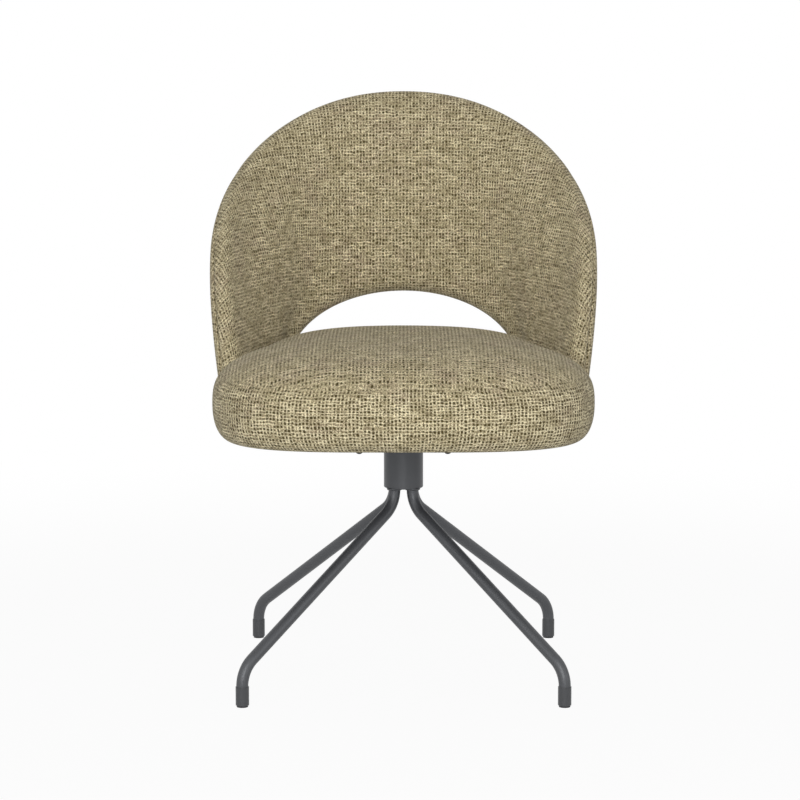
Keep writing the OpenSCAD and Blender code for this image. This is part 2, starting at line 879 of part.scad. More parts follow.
// Rectangular tube across the seat, whose underside rises to its ends
module cross_rail(y) {
    color("dimgray")
        difference() {
            translate([-bracket_in, y - rail_w / 2, rail_base_z])
                cube([2 * bracket_in, rail_w, rail_h]);
            translate([-bracket_in - over, y - rail_w / 2 + rail_wall, rail_base_z + rail_wall])
                cube([2 * (bracket_in + over), rail_w - 2 * rail_wall, rail_h - 2 * rail_wall]);
            for (side = [0, 1]) {
                mirror([side, 0, 0])
                    translate([0, y + rail_w / 2 + over, 0])
                        rotate([90, 0, 0])
                            linear_extrude(rail_w + 2 * over)
                                polygon([
                                    [rail_level_reach, rail_base_z - over],
                                    [bracket_in + over, rail_base_z - over],
                                    [bracket_in + over, rail_end_z],
                                    [bracket_in, rail_end_z],
                                    [rail_level_reach, rail_base_z]
                                ]);
            }
            for (x = [-bolt_reach, bolt_reach]) {
                translate([x, y, rail_base_z - over])
                    cylinder(r = bolt_d / 2 + hole_gap, h = rail_h + 2 * over);
            }
        }
}

module cross_rail_front() { cross_rail(-bolt_reach); }
module cross_rail_rear() { cross_rail(bolt_reach); }

// Upright plate from the rails' ends into a wing, wide below and narrow above
module wing_bracket(side) {
    foot_half_w = bolt_reach + rail_w / 2;
    neck_z = wing_foot_z - seat_base_z + over;
    corner = screw_edge / 2;
    top_y = [bracket_y - bracket_w / 2, bracket_y + bracket_w / 2];
    color("dimgray")
        difference() {
            translate([side > 0 ? bracket_in : -bracket_out, 0, 0])
                rotate([90, 0, 90])
                    linear_extrude(bracket_t)
                        polygon([
                            [-foot_half_w, rail_end_z],
                            [foot_half_w, rail_end_z],
                            [foot_half_w, rail_top_z - neck_z],
                            [top_y[1], rail_top_z],
                            [top_y[1], bracket_top_z - corner],
                            [top_y[1] - corner, bracket_top_z],
                            [top_y[0] + corner, bracket_top_z],
                            [top_y[0], bracket_top_z - corner],
                            [top_y[0], rail_top_z],
                            [-foot_half_w, rail_top_z - neck_z]
                        ]);
            at_wing_screws(side)
                translate([0, 0, -over])
                    cylinder(r = screw_d / 2 + hole_gap, h = bracket_t + 2 * over);
        }
}

module wing_bracket_left() { wing_bracket(-1); }
module wing_bracket_right() { wing_bracket(1); }

// Spacers that reach from a bracket to the shell, which curves away from it
module wing_spacers(side) {
    color("silver")
        for (y = screw_ys) {
            for (z = screw_zs) {
                reach = shell_inner_x(y, z - spacer_d / 2) - bracket_out - layer_gap;
                translate([side * bracket_out, y, z])
                    rotate([0, 90 * side, 0])
                        ring(spacer_d / 2, screw_d / 2 + hole_gap, reach);
            }
        }
}

module wing_spacers_left() { wing_spacers(-1); }
module wing_spacers_right() { wing_spacers(1); }

module wing_screws(side) {
    color("silver")
        for (y = screw_ys) {
            for (z = screw_zs) {
                reach = shell_inner_x(y, z) - bracket_in + screw_bite;
                translate([side * bracket_in, y, z])
                    rotate([0, 90 * side, 0]) {
                        cylinder(d = screw_d, h = reach);
                        translate([0, 0, -screw_head_h])
                            cylinder(d = screw_head_d, h = screw_head_h);
                    }
            }
        }
}

module wing_screws_left() { wing_screws(-1); }
module wing_screws_right() { wing_screws(1); }

// Seat

module seat_board() {
    color("burlywood")
        difference() {
            translate([0, 0, board_z])
                intersection() {
                    linear_extrude(board_t)
                        seat_outline(board_inset);
                    board_region(0, board_t);
                }
            at_seat_bolts() {
                translate([0, 0, board_z - over])
                    cylinder(r = nut_barrel_r + press_gap, h = board_t + 2 * over);
                translate([0, 0, board_top_z - nut_flange_t - press_gap])
                    cylinder(r = nut_flange_r + press_gap, h = nut_flange_t + over);
            }
        }
}

module seat_foam() {
    color("khaki")
        difference() {
            seat_form(cover_t + layer_gap);
            translate([0, 0, board_z - over])
                intersection() {
                    linear_extrude(board_t + layer_gap + over)
                        seat_outline(board_inset - layer_gap);
                    board_region(layer_gap, board_t + over);
                }
            wing_room();
        }
}

// Cover over the foam's top and sides, turned in under the board's margin
module seat_cover() {
    n = seat_turn_steps;
    outer = seat_skin(0);
    inner = seat_skin(cover_t);
    hem_r = seat_draw_in + hem_w;
    hem_outer = [for (turn = seat_turns) seat_place(turn, seat_r(turn) - hem_r, seat_base_z)];
    hem_inner = [for (turn = seat_turns) seat_place(turn, seat_r(turn) - hem_r, seat_base_z + cover_t)];
    first = len(outer) + n;
    color("darkkhaki")
        difference() {
            polyhedron(
                concat(outer, hem_outer, inner, hem_inner),
                concat(
                    skin_sides(0, seat_rings + 1),
                    turned(skin_sides(first, seat_rings + 1)),
                    [
                        for (j = [0:n - 1])
                        let (a = first - n + j, b = first - n + (j + 1) % n)
                        each [[a, b + first, b], [a, a + first, b + first]]
                    ]
                )
            );
            wing_room();
        }
}

module dust_cover() {
    color("black")
        difference() {
            translate([0, 0, seat_base_z])
                intersection() {
                    linear_extrude(cover_t)
                        seat_outline(seat_draw_in + hem_w + layer_gap);
                    board_region(0, cover_t);
                }
            at_seat_bolts()
                translate([0, 0, seat_base_z - over])
                    cylinder(r = bolt_d / 2 + hole_gap, h = cover_t + 2 * over);
        }
}

// Back

module wing_screw_bores() {
    for (side = [-1, 1]) {
        for (y = screw_ys) {
            for (z = screw_zs) {
                translate([side * bracket_in, y, z])
                    rotate([0, 90 * side, 0])
                        cylinder(r = screw_d / 2 + press_gap, h = 2 * half_t);
            }
        }
    }
}

module back_shell() {
    color("burlywood")
        difference() {
            carry_section(shell_section, 1 - side_steps, side_steps - 1);
            wing_screw_bores();
        }
}

// Windows in the padding for the brackets, the spacers and the screws' heads
module wing_pockets() {
    for (side = [0, 1]) {
        mirror([side, 0, 0])
            translate([
                bracket_in - half_t,
                bracket_y - bracket_w / 2 - pocket_margin,
                wing_foot_z - wing_round_h
            ])
                cube([
                    back_t + shell_t,
                    bracket_w + 2 * pocket_margin,
                    bracket_top_z - wing_foot_z + wing_round_h + pocket_margin
                ]);
    }
}

module back_foam_front() {
    color("khaki")
        difference() {
            carry_section(front_foam_section, -side_steps, side_steps);
            wing_pockets();
        }
}

module back_foam_rear() {
    color("khaki")
        carry_section(rear_foam_section, -side_steps, side_steps);
}

module back_cover_front() {
    color("darkkhaki")
        carry_section(front_cover_section, -side_steps, side_steps);
}

module back_cover_rear() {
    color("darkkhaki")
        carry_section(rear_cover_section, -side_steps, side_steps);
}

leg_front_left();
leg_front_right();
leg_rear_left();
leg_rear_right();
foot_sleeve_front_left();
foot_sleeve_front_right();
foot_sleeve_rear_left();
foot_sleeve_rear_right();
foot_pad_front_left();
foot_pad_front_right();
foot_pad_rear_left();
foot_pad_rear_right();
hub_tube();
hub_floor();
lower_bush();
upper_bush();
thrust_washer();
spindle();
retaining_washer();
retaining_screw();
seat_plate();
seat_bolts();
seat_washers();
seat_nuts();
cross_rail_front();
cross_rail_rear();
wing_bracket_left();
wing_bracket_right();
wing_spacers_left();
wing_spacers_right();
wing_screws_left();
wing_screws_right();
seat_board();
seat_foam();
seat_cover();
dust_cover();
back_shell();
back_foam_front();
back_foam_rear();
back_cover_front();
back_cover_rear();
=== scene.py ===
"""Looks of a swivel dining chair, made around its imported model, in metres and in its frame."""

from __future__ import annotations

import json
import logging
import math
from collections.abc import Callable
from dataclasses import dataclass
from enum import Enum

import bmesh
import bpy
import numpy as np
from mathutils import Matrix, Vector
from mathutils.bvhtree import BVHTree

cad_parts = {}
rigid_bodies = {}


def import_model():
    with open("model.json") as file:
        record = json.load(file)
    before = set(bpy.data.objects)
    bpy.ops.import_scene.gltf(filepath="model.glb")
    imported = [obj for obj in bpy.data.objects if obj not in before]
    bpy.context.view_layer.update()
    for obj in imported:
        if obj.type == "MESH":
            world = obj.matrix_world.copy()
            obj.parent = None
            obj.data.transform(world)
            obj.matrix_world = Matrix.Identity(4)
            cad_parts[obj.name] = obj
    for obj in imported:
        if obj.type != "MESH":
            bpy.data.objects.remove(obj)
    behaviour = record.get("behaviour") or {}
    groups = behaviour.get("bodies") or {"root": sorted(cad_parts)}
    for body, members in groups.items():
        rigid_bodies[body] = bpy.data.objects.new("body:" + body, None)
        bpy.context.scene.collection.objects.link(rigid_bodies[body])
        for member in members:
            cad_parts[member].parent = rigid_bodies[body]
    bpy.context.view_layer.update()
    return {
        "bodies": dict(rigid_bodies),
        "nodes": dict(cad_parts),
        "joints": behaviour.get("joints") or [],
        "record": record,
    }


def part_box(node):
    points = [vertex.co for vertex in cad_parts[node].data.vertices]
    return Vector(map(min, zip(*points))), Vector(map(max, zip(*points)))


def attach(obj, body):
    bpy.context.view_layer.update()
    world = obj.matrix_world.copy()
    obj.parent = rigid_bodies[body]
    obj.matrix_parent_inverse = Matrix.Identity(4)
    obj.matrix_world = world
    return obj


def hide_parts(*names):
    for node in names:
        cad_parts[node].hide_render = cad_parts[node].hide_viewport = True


log = logging.getLogger("chair")

Colour = tuple[float, float, float]
Span = float | np.ndarray

MM = 0.001
MERGE = 0.001 * MM
WHITE: Colour = (1.0, 1.0, 1.0)


class Body(Enum):
    """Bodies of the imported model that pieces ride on."""

    BASE = "base"
    SEAT = "seat"


# Shader tools


def math_node(operation: str, turned: bool = False) -> Callable[..., Field]:
    """Makes a method of Field that adds one Math node.

    Args:
        operation: Blender's name of the operation.
        turned: True if the other value comes first.

    Returns:
        The method.
    """

    def method(self: Field, *others: Field | float) -> Field:
        """Joins this field with the others, if the operation needs any."""
        values = (*others, self) if turned else (self, *others)
        node = self.paint.node("ShaderNodeMath", {"operation": operation}, dict(enumerate(values)))
        return Field(self.paint, node.outputs[0])

    return method


class Field:
    """A number that changes over a surface. Python's operators on it add Math nodes."""

    __add__, __radd__ = math_node("ADD"), math_node("ADD", turned=True)
    __sub__, __rsub__ = math_node("SUBTRACT"), math_node("SUBTRACT", turned=True)
    __mul__, __rmul__ = math_node("MULTIPLY"), math_node("MULTIPLY", turned=True)
    __pow__ = math_node("POWER")
    sine, floor, fract = math_node("SINE"), math_node("FLOOR"), math_node("FRACT")
    size, at_most, at_least = math_node("ABSOLUTE"), math_node("MINIMUM"), math_node("MAXIMUM")

    def __init__(self, paint: Paint, socket: bpy.types.NodeSocket) -> None:
        """Wraps a socket of a material or a world."""
        self.paint = paint
        self.socket = socket

    def step(self, low: float, high: float) -> Field:
        """Smooth step from 0 at low to 1 at high.

        Args:
            low: value below which the result is 0.
            high: value above which it is 1.

        Returns:
            The step.
        """
        node = self.paint.node(
            "ShaderNodeMapRange",
            {"interpolation_type": "SMOOTHSTEP"},
            {"Value": self, "From Min": low, "From Max": high},
        )
        return Field(self.paint, node.outputs[0])


class Paint:
    """Nodes of a material or a world under construction. Every node comes from one method."""

    def __init__(self, owner: bpy.types.Material | bpy.types.World) -> None:
        """Starts with no nodes.

        Args:
            owner: the material or the world.
        """
        self.owner = owner
        owner.use_nodes = True
        owner.node_tree.nodes.clear()

    @classmethod
    def new(cls, name: str) -> Paint:
        """Starts a material."""
        return cls(bpy.data.materials.new(name))

    def node(
        self,
        kind: str,
        settings: dict[str, object] | None = None,
        sockets: dict[str | int, object] | None = None,
    ) -> bpy.types.Node:
        """Adds a node.

        Args:
            kind: Blender's name of the node type.
            settings: properties of the node, set before its sockets.
            sockets: values or links of its inputs, by name or place.

        Returns:
            The node.
        """
        node = self.owner.node_tree.nodes.new(kind)
        for name, value in (settings or {}).items():
            setattr(node, name, value)
        for key, value in (sockets or {}).items():
            self.plug(node.inputs[key], value)
        return node

    def plug(self, socket: bpy.types.NodeSocket, value: object) -> None:
        """Links a field or a socket to an input, or sets its number or colour.

        Args:
            socket: input of a node.
            value: a field, a socket, a number, a colour or a vector.
        """
        if isinstance(value, Field):
            value = value.socket
        if isinstance(value, bpy.types.NodeSocket):
            self.owner.node_tree.links.new(value, socket)
            return
        if isinstance(value, tuple) and socket.type == "RGBA" and len(value) == 3:
            value = (*value, 1.0)
        socket.default_value = value

    def place(self) -> bpy.types.NodeSocket:
        """Object coordinates."""
        return self.node("ShaderNodeTexCoord").outputs["Object"]

    def uv(self, name: str) -> bpy.types.NodeSocket:
        """One of the piece's own UV maps."""
        return self.node("ShaderNodeUVMap", {"uv_map": name}).outputs[0]

    def attribute(self, name: str) -> Field:
        """A number that the piece's mesh carries at its vertices."""
        return Field(self, self.node("ShaderNodeAttribute", {"attribute_name": name}).outputs["Fac"])

    def parts(self, vector: bpy.types.NodeSocket) -> tuple[Field, Field, Field]:
        """The three numbers of a vector."""
        node = self.node("ShaderNodeSeparateXYZ", {}, {0: vector})
        return tuple(Field(self, out) for out in node.outputs)

    def vector(self, x: Field | float, y: Field | float, z: Field | float = 0.0) -> bpy.types.NodeSocket:
        """A vector of three numbers."""
        return self.node("ShaderNodeCombineXYZ", {}, {0: x, 1: y, 2: z}).outputs[0]

    def noise(self, vector: bpy.types.NodeSocket, scale: float, detail: float = 2.0) -> Field:
        """Soft noise between 0 and 1, about 0.5 on average."""
        sockets = {"Vector": vector, "Scale": scale, "Detail": detail}
        return Field(self, self.node("ShaderNodeTexNoise", {}, sockets).outputs[0])

    def chance(self, vector: bpy.types.NodeSocket) -> Field:
        """An even random number for each vector, from 0 to 1."""
        settings = {"noise_dimensions": "3D"}
        return Field(self, self.node("ShaderNodeTexWhiteNoise", settings, {"Vector": vector}).outputs[0])

    def tint(self, share: Field | float, first: object, second: object) -> bpy.types.NodeSocket:
        """Mix of two colours."""
        sockets = {0: share, 6: first, 7: second}
        return self.node("ShaderNodeMix", {"data_type": "RGBA"}, sockets).outputs[2]

    def shade(self, colour: object, amount: Field) -> bpy.types.NodeSocket:
        """A colour made lighter or darker by a factor.

        Args:
            colour: colour, or the socket of one.
            amount: factor on all three channels.

        Returns:
            Socket of the changed colour.
        """
        grey = self.vector(amount, amount, amount)
        sockets = {0: 1.0, 6: colour, 7: grey}
        settings = {"data_type": "RGBA", "blend_type": "MULTIPLY"}
        return self.node("ShaderNodeMix", settings, sockets).outputs[2]

    def relief(self, height: Field, depth: float) -> bpy.types.NodeSocket:
        """Normal of a surface with a fine relief of the given depth in metres."""
        sockets = {"Height": height, "Distance": depth, "Strength": 1.0}
        return self.node("ShaderNodeBump", {}, sockets).outputs[0]

    def seen(self) -> Field:
        """1 where the camera looks, directly, in a reflection or through a clear piece, else 0.

        Returns:
            The share.
        """
        rays = self.node("ShaderNodeLightPath").outputs
        direct = Field(self, rays["Is Camera Ray"])
        mirrored, through = Field(self, rays["Is Glossy Ray"]), Field(self, rays["Is Transmission Ray"])
        return direct.at_least(mirrored).at_least(through)

    def finished(self, **sockets: object) -> bpy.types.Material:
        """Closes the material with one Principled shader.

        Args:
            sockets: the shader's inputs, with _ for each space in a name.

        Returns:
            The material.
        """
        named = {name.replace("_", " "): value for name, value in sockets.items()}
        surface = self.node("ShaderNodeBsdfPrincipled", {}, named)
        self.node("ShaderNodeOutputMaterial", {}, {"Surface": surface.outputs[0]})
        return self.owner


# Finishes


@dataclass(frozen=True)
class WovenCloth:
    """Chunky upholstery weave with slubby weft rows, painted shade in the slots between its yarns and
    painted highlights on their crests.
    """

    name: str = "woven_cloth"
    warp_pitch: float = 5.0 * MM
    weft_pitch: float = 4.75 * MM
    relief_depth: float = 0.8 * MM
    # Painted shade in the slots between the yarns.
    pit_shade: Colour = (0.080, 0.060, 0.022)
    body: Colour = (0.350, 0.290, 0.165)
    # Painted highlight on the yarns' crests.
    crest_highlight: Colour = (0.88, 0.78, 0.52)
    grey_yarn: Colour = (0.345, 0.262, 0.185)
    # Strength of the painted slot shade and crest highlights on the first map and on the second.
    contrasts: tuple[float, float] = (0.85, 1.38)
    fuzz_scale: float = 700.0
    cloud_scale: float = 26.0
    sway_scale: float = 95.0
    cluster_scale: float = 120.0
    patch_scale: float = 24.0
    streak_scale: float = 42.0
    streak_shift: float = 7.3

    def material(self, maps: tuple[str, ...], mask: str = "") -> bpy.types.Material:
        """Builds the weave on one UV map, or on two that an attribute crossfades.

        Args:
            maps: names of the UV maps, which are in metres of cloth.
            mask: attribute that is 0 on the first map's part and 1 on the second's.

        Returns:
            The material.
        """
        paint = Paint.new(self.name)
        depth, crest_highlight = self.weave(paint, paint.uv(maps[0]))
        if mask:
            share = paint.attribute(mask)
            second = self.weave(paint, paint.uv(maps[1]))
            # The second map's copy gets bolder painted shade and highlights than the first map's.
            soft, bold = self.contrasts
            depth = soft * depth + (bold * second[0] - soft * depth) * share
            crest_highlight = soft * crest_highlight + (bold * second[1] - soft * crest_highlight) * share
        fuzz = paint.noise(paint.place(), self.fuzz_scale, 2.0) - 0.5
        cloud = paint.noise(paint.place(), self.cloud_scale, 2.0)
        # Painted shade: the slots' depth, with fibre noise, darkens the colour towards the slot colour; it
        # also sets the roughness and the relief.
        slot_depth_and_shade = (depth + fuzz * 1.7).at_least(0.0).at_most(1.0)
        plain = paint.tint(cloud.step(0.45, 0.75) * 0.45, self.body, self.grey_yarn)
        # Painted highlights on the crests, with fibre noise, mix the crest colour into the yarns' own
        # colour.
        lit = paint.tint((crest_highlight + fuzz * 2.0).at_least(0.0).at_most(1.0), plain, self.crest_highlight)
        colour = paint.shade(paint.tint(slot_depth_and_shade.step(0.08, 0.85), lit, self.pit_shade), 1.0 + 2.6 * fuzz)
        return paint.finished(
            Base_Color=colour,
            Roughness=0.86 + 0.12 * slot_depth_and_shade,
            Normal=paint.relief(crest_highlight * 0.3 - slot_depth_and_shade, self.relief_depth),
            Specular_IOR_Level=0.2,
            Sheen_Weight=0.10,
            Sheen_Roughness=0.5,
        )

    def weave(self, paint: Paint, cloth: bpy.types.NodeSocket) -> tuple[Field, Field]:
        """Depth between the yarns, and the painted highlight on the yarns' crests.

        Args:
            paint: material under construction.
            cloth: coordinates on the cloth, in metres.

        Returns:
            Depth from 0 on a yarn to 1 in a slot, and painted highlight from 0 to 1 on the crests.
        """
        sway = paint.noise(cloth, self.sway_scale, 2.0) - 0.5
        clusters = paint.noise(cloth, self.cluster_scale, 1.0)
        across, up, _ = paint.parts(cloth)
        warps = across * (1 / self.warp_pitch) + sway * 0.6
        warp = (warps + 0.5).floor()
        rows = up * (1 / self.weft_pitch) + sway * 1.0 + paint.chance(paint.vector(warp, 2.0, 3.0)) * 0.25
        row = (rows + 0.5).floor()
        beside = 0.5 + 0.5 * (warps * (2 * math.pi) + math.pi / 2).sine()
        above = 0.5 + 0.5 * (rows * (2 * math.pi) + math.pi / 2).sine()
        luck = paint.chance(paint.vector(warp, row, 1.0))
        shine = paint.chance(paint.vector(warp, row, 9.0))
        shift = (paint.noise(cloth, self.patch_scale, 1.0) * 6.0).floor()
        every_other = ((row + shift) * 0.5).fract() * 2.0
        lanes = paint.vector(across * self.streak_scale, row * self.streak_shift)
        streak = paint.noise(lanes, 1.0, 1.0)
        row_depth = (0.46 + 0.68 * every_other) * (1.55 - 1.1 * streak)
        slot = beside ** 1.7 * above ** 0.9 * (0.22 + 1.45 * luck) * row_depth
        depth = slot * (0.66 + clusters.step(0.30, 0.60) * 0.85) + 0.10 * above ** 2.0 * row_depth
        # Painted highlights: on the warp floats between the slots, and as streaks along the slubby weft
        # rows.
        floats = (1.0 - beside) ** 1.3 * (0.06 + 1.20 * shine * shine) * (0.18 + 0.82 * above ** 1.5)
        crest_highlight = floats + 1.05 * streak.step(0.34, 0.80) * (1.0 - above) ** 2.6
        return depth, crest_highlight


@dataclass(frozen=True)
class PowderCoat:
    """Satin powder coat with a fine orange-peel skin."""

    name: str
    colour: Colour
    roughness: float = 0.42
    grain_scale: float = 900.0
    cloud_scale: float = 35.0
    relief_depth: float = 0.05 * MM

    def material(self) -> bpy.types.Material:
        """Builds the coat.

        Returns:
            The material.
        """
        paint = Paint.new(self.name)
        place = paint.place()
        peel = paint.noise(place, self.grain_scale, 2.0)
        cloud = paint.noise(place, self.cloud_scale, 3.0)
        colour = paint.shade(self.colour, 0.90 + 0.20 * cloud)
        return paint.finished(
            Base_Color=colour,
            Metallic=0.35,
            Roughness=self.roughness + (peel - 0.5) * 0.12 + (cloud - 0.5) * 0.08,
            Normal=paint.relief(peel, self.relief_depth),
            Specular_IOR_Level=0.5,
        )


@dataclass(frozen=True)
class MouldedPlastic:
    """Moulded plastic with a fine spark-eroded grain."""

    name: str
    colour: Colour
    roughness: float = 0.5
    grain_scale: float = 2200.0
    cloud_scale: float = 60.0
    relief_depth: float = 0.03 * MM

    def material(self) -> bpy.types.Material:
        """Builds the plastic.

        Returns:
            The material.
        """
        paint = Paint.new(self.name)
        place = paint.place()
        grain = paint.noise(place, self.grain_scale, 2.0)
        cloud = paint.noise(place, self.cloud_scale, 2.0)
        return paint.finished(
            Base_Color=paint.shade(self.colour, 0.92 + 0.16 * cloud),
            Roughness=self.roughness + (grain - 0.5) * 0.2,
            Normal=paint.relief(grain, self.relief_depth),
        )


@dataclass(frozen=True)
class PressedFelt:
    """Pressed felt of matted fibres."""

    name: str = "pressed_felt"
    dark: Colour = (0.020, 0.020, 0.022)
    light: Colour = (0.085, 0.085, 0.090)
    fibre_scale: float = 1800.0
    clump_scale: float = 260.0
    relief_depth: float = 0.3 * MM

    def material(self) -> bpy.types.Material:
        """Builds the felt.

        Returns:
            The material.
        """
        paint = Paint.new(self.name)
        place = paint.place()
        fibres = paint.noise(place, self.fibre_scale, 5.0)
        clumps = paint.noise(place, self.clump_scale, 3.0)
        share = (fibres * 0.7 + clumps * 0.3).step(0.32, 0.70)
        return paint.finished(
            Base_Color=paint.tint(share, self.dark, self.light),
            Roughness=0.95,
            Normal=paint.relief(fibres, self.relief_depth),
        )


@dataclass(frozen=True)
class PlatedSteel:
    """Plated or blackened steel with turning marks and faint blotches."""

    name: str
    light: Colour
    dark: Colour
    roughness: float = 0.34
    blotch_scale: float = 90.0
    mark_scale: float = 60.0
    mark_stretch: tuple[float, float] = (6.0, 90.0)
    relief_depth: float = 0.02 * MM

    def material(self) -> bpy.types.Material:
        """Builds the steel.

        Returns:
            The material.
        """
        paint = Paint.new(self.name)
        place = paint.place()
        blotch = paint.noise(place, self.blotch_scale, 4.0)
        across, along, up = paint.parts(place)
        level, upright = self.mark_stretch
        turned = paint.vector(across * level, along * level, up * upright)
        marks = paint.noise(turned, self.mark_scale, 2.0)
        return paint.finished(
            Base_Color=paint.tint(blotch.step(0.3, 0.75), self.dark, self.light),
            Metallic=1.0,
            Roughness=self.roughness + (marks - 0.5) * 0.25 + (blotch - 0.5) * 0.1,
            Normal=paint.relief(marks, self.relief_depth),
        )


@dataclass(frozen=True)
class Plywood:
    """Birch plywood: grain on the faces, and dark and light plies on the edges."""

    name: str = "plywood"
    pale: Colour = (0.58, 0.42, 0.25)
    brown: Colour = (0.40, 0.255, 0.13)
    glue: Colour = (0.12, 0.07, 0.035)
    ply: float = 1.5 * MM
    relief_depth: float = 0.06 * MM

    def material(self) -> bpy.types.Material:
        """Builds the plywood.

        Returns:
            The material.
        """
        paint = Paint.new(self.name)
        across, along, up = paint.parts(paint.place())
        grain = paint.noise(paint.vector(across * 12.0, along * 160.0, up * 160.0), 1.0, 4.0)
        pores = paint.noise(paint.vector(across * 60.0, along * 1500.0, up * 60.0), 1.0, 2.0)
        plies = (up * (math.pi / self.ply)).sine()
        face = paint.tint(grain.step(0.3, 0.7), self.brown, self.pale)
        edge = paint.tint(plies.step(0.75, 0.95) * 0.6, face, self.glue)
        return paint.finished(
            Base_Color=paint.shade(edge, 0.86 + 0.28 * pores),
            Roughness=0.62 + 0.2 * (grain - 0.5),
            Normal=paint.relief(pores, self.relief_depth),
        )


@dataclass(frozen=True)
class SpunCloth:
    """Thin spunbonded dust cloth with its pattern of bonding points."""

    name: str = "spun_cloth"
    colour: Colour = (0.018, 0.018, 0.019)
    pitch: float = 1.3 * MM
    fibre_scale: float = 700.0
    relief_depth: float = 0.12 * MM

    def material(self) -> bpy.types.Material:
        """Builds the cloth.

        Returns:
            The material.
        """
        paint = Paint.new(self.name)
        place = paint.place()
        across, along, _ = paint.parts(place)
        first = ((across + along) * (math.pi / self.pitch)).sine().size()
        second = ((across - along) * (math.pi / self.pitch)).sine().size()
        bond = (first * second).step(0.45, 0.75)
        fibres = paint.noise(place, self.fibre_scale, 4.0)
        return paint.finished(
            Base_Color=paint.shade(self.colour, 0.6 + 1.2 * fibres - 0.35 * bond),
            Roughness=0.82 - 0.2 * bond,
            Normal=paint.relief(fibres * 0.5 - bond * 0.5, self.relief_depth),
        )


Finish = PowderCoat | MouldedPlastic | PressedFelt | PlatedSteel | Plywood | SpunCloth


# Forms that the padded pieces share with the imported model


def oval_r(a: Span, b: Span, power: float, sine: Span, cosine: Span) -> np.ndarray:
    """Distance from the middle of a rounded outline of half sizes a and b to its edge."""
    return (np.abs(sine / a) ** power + np.abs(cosine / b) ** power) ** (-1 / power)


def smooth(share: Span) -> np.ndarray:
    """Smooth step of a share from 0 to 1."""
    part = np.clip(share, 0.0, 1.0)
    return part * part * (3 - 2 * part)


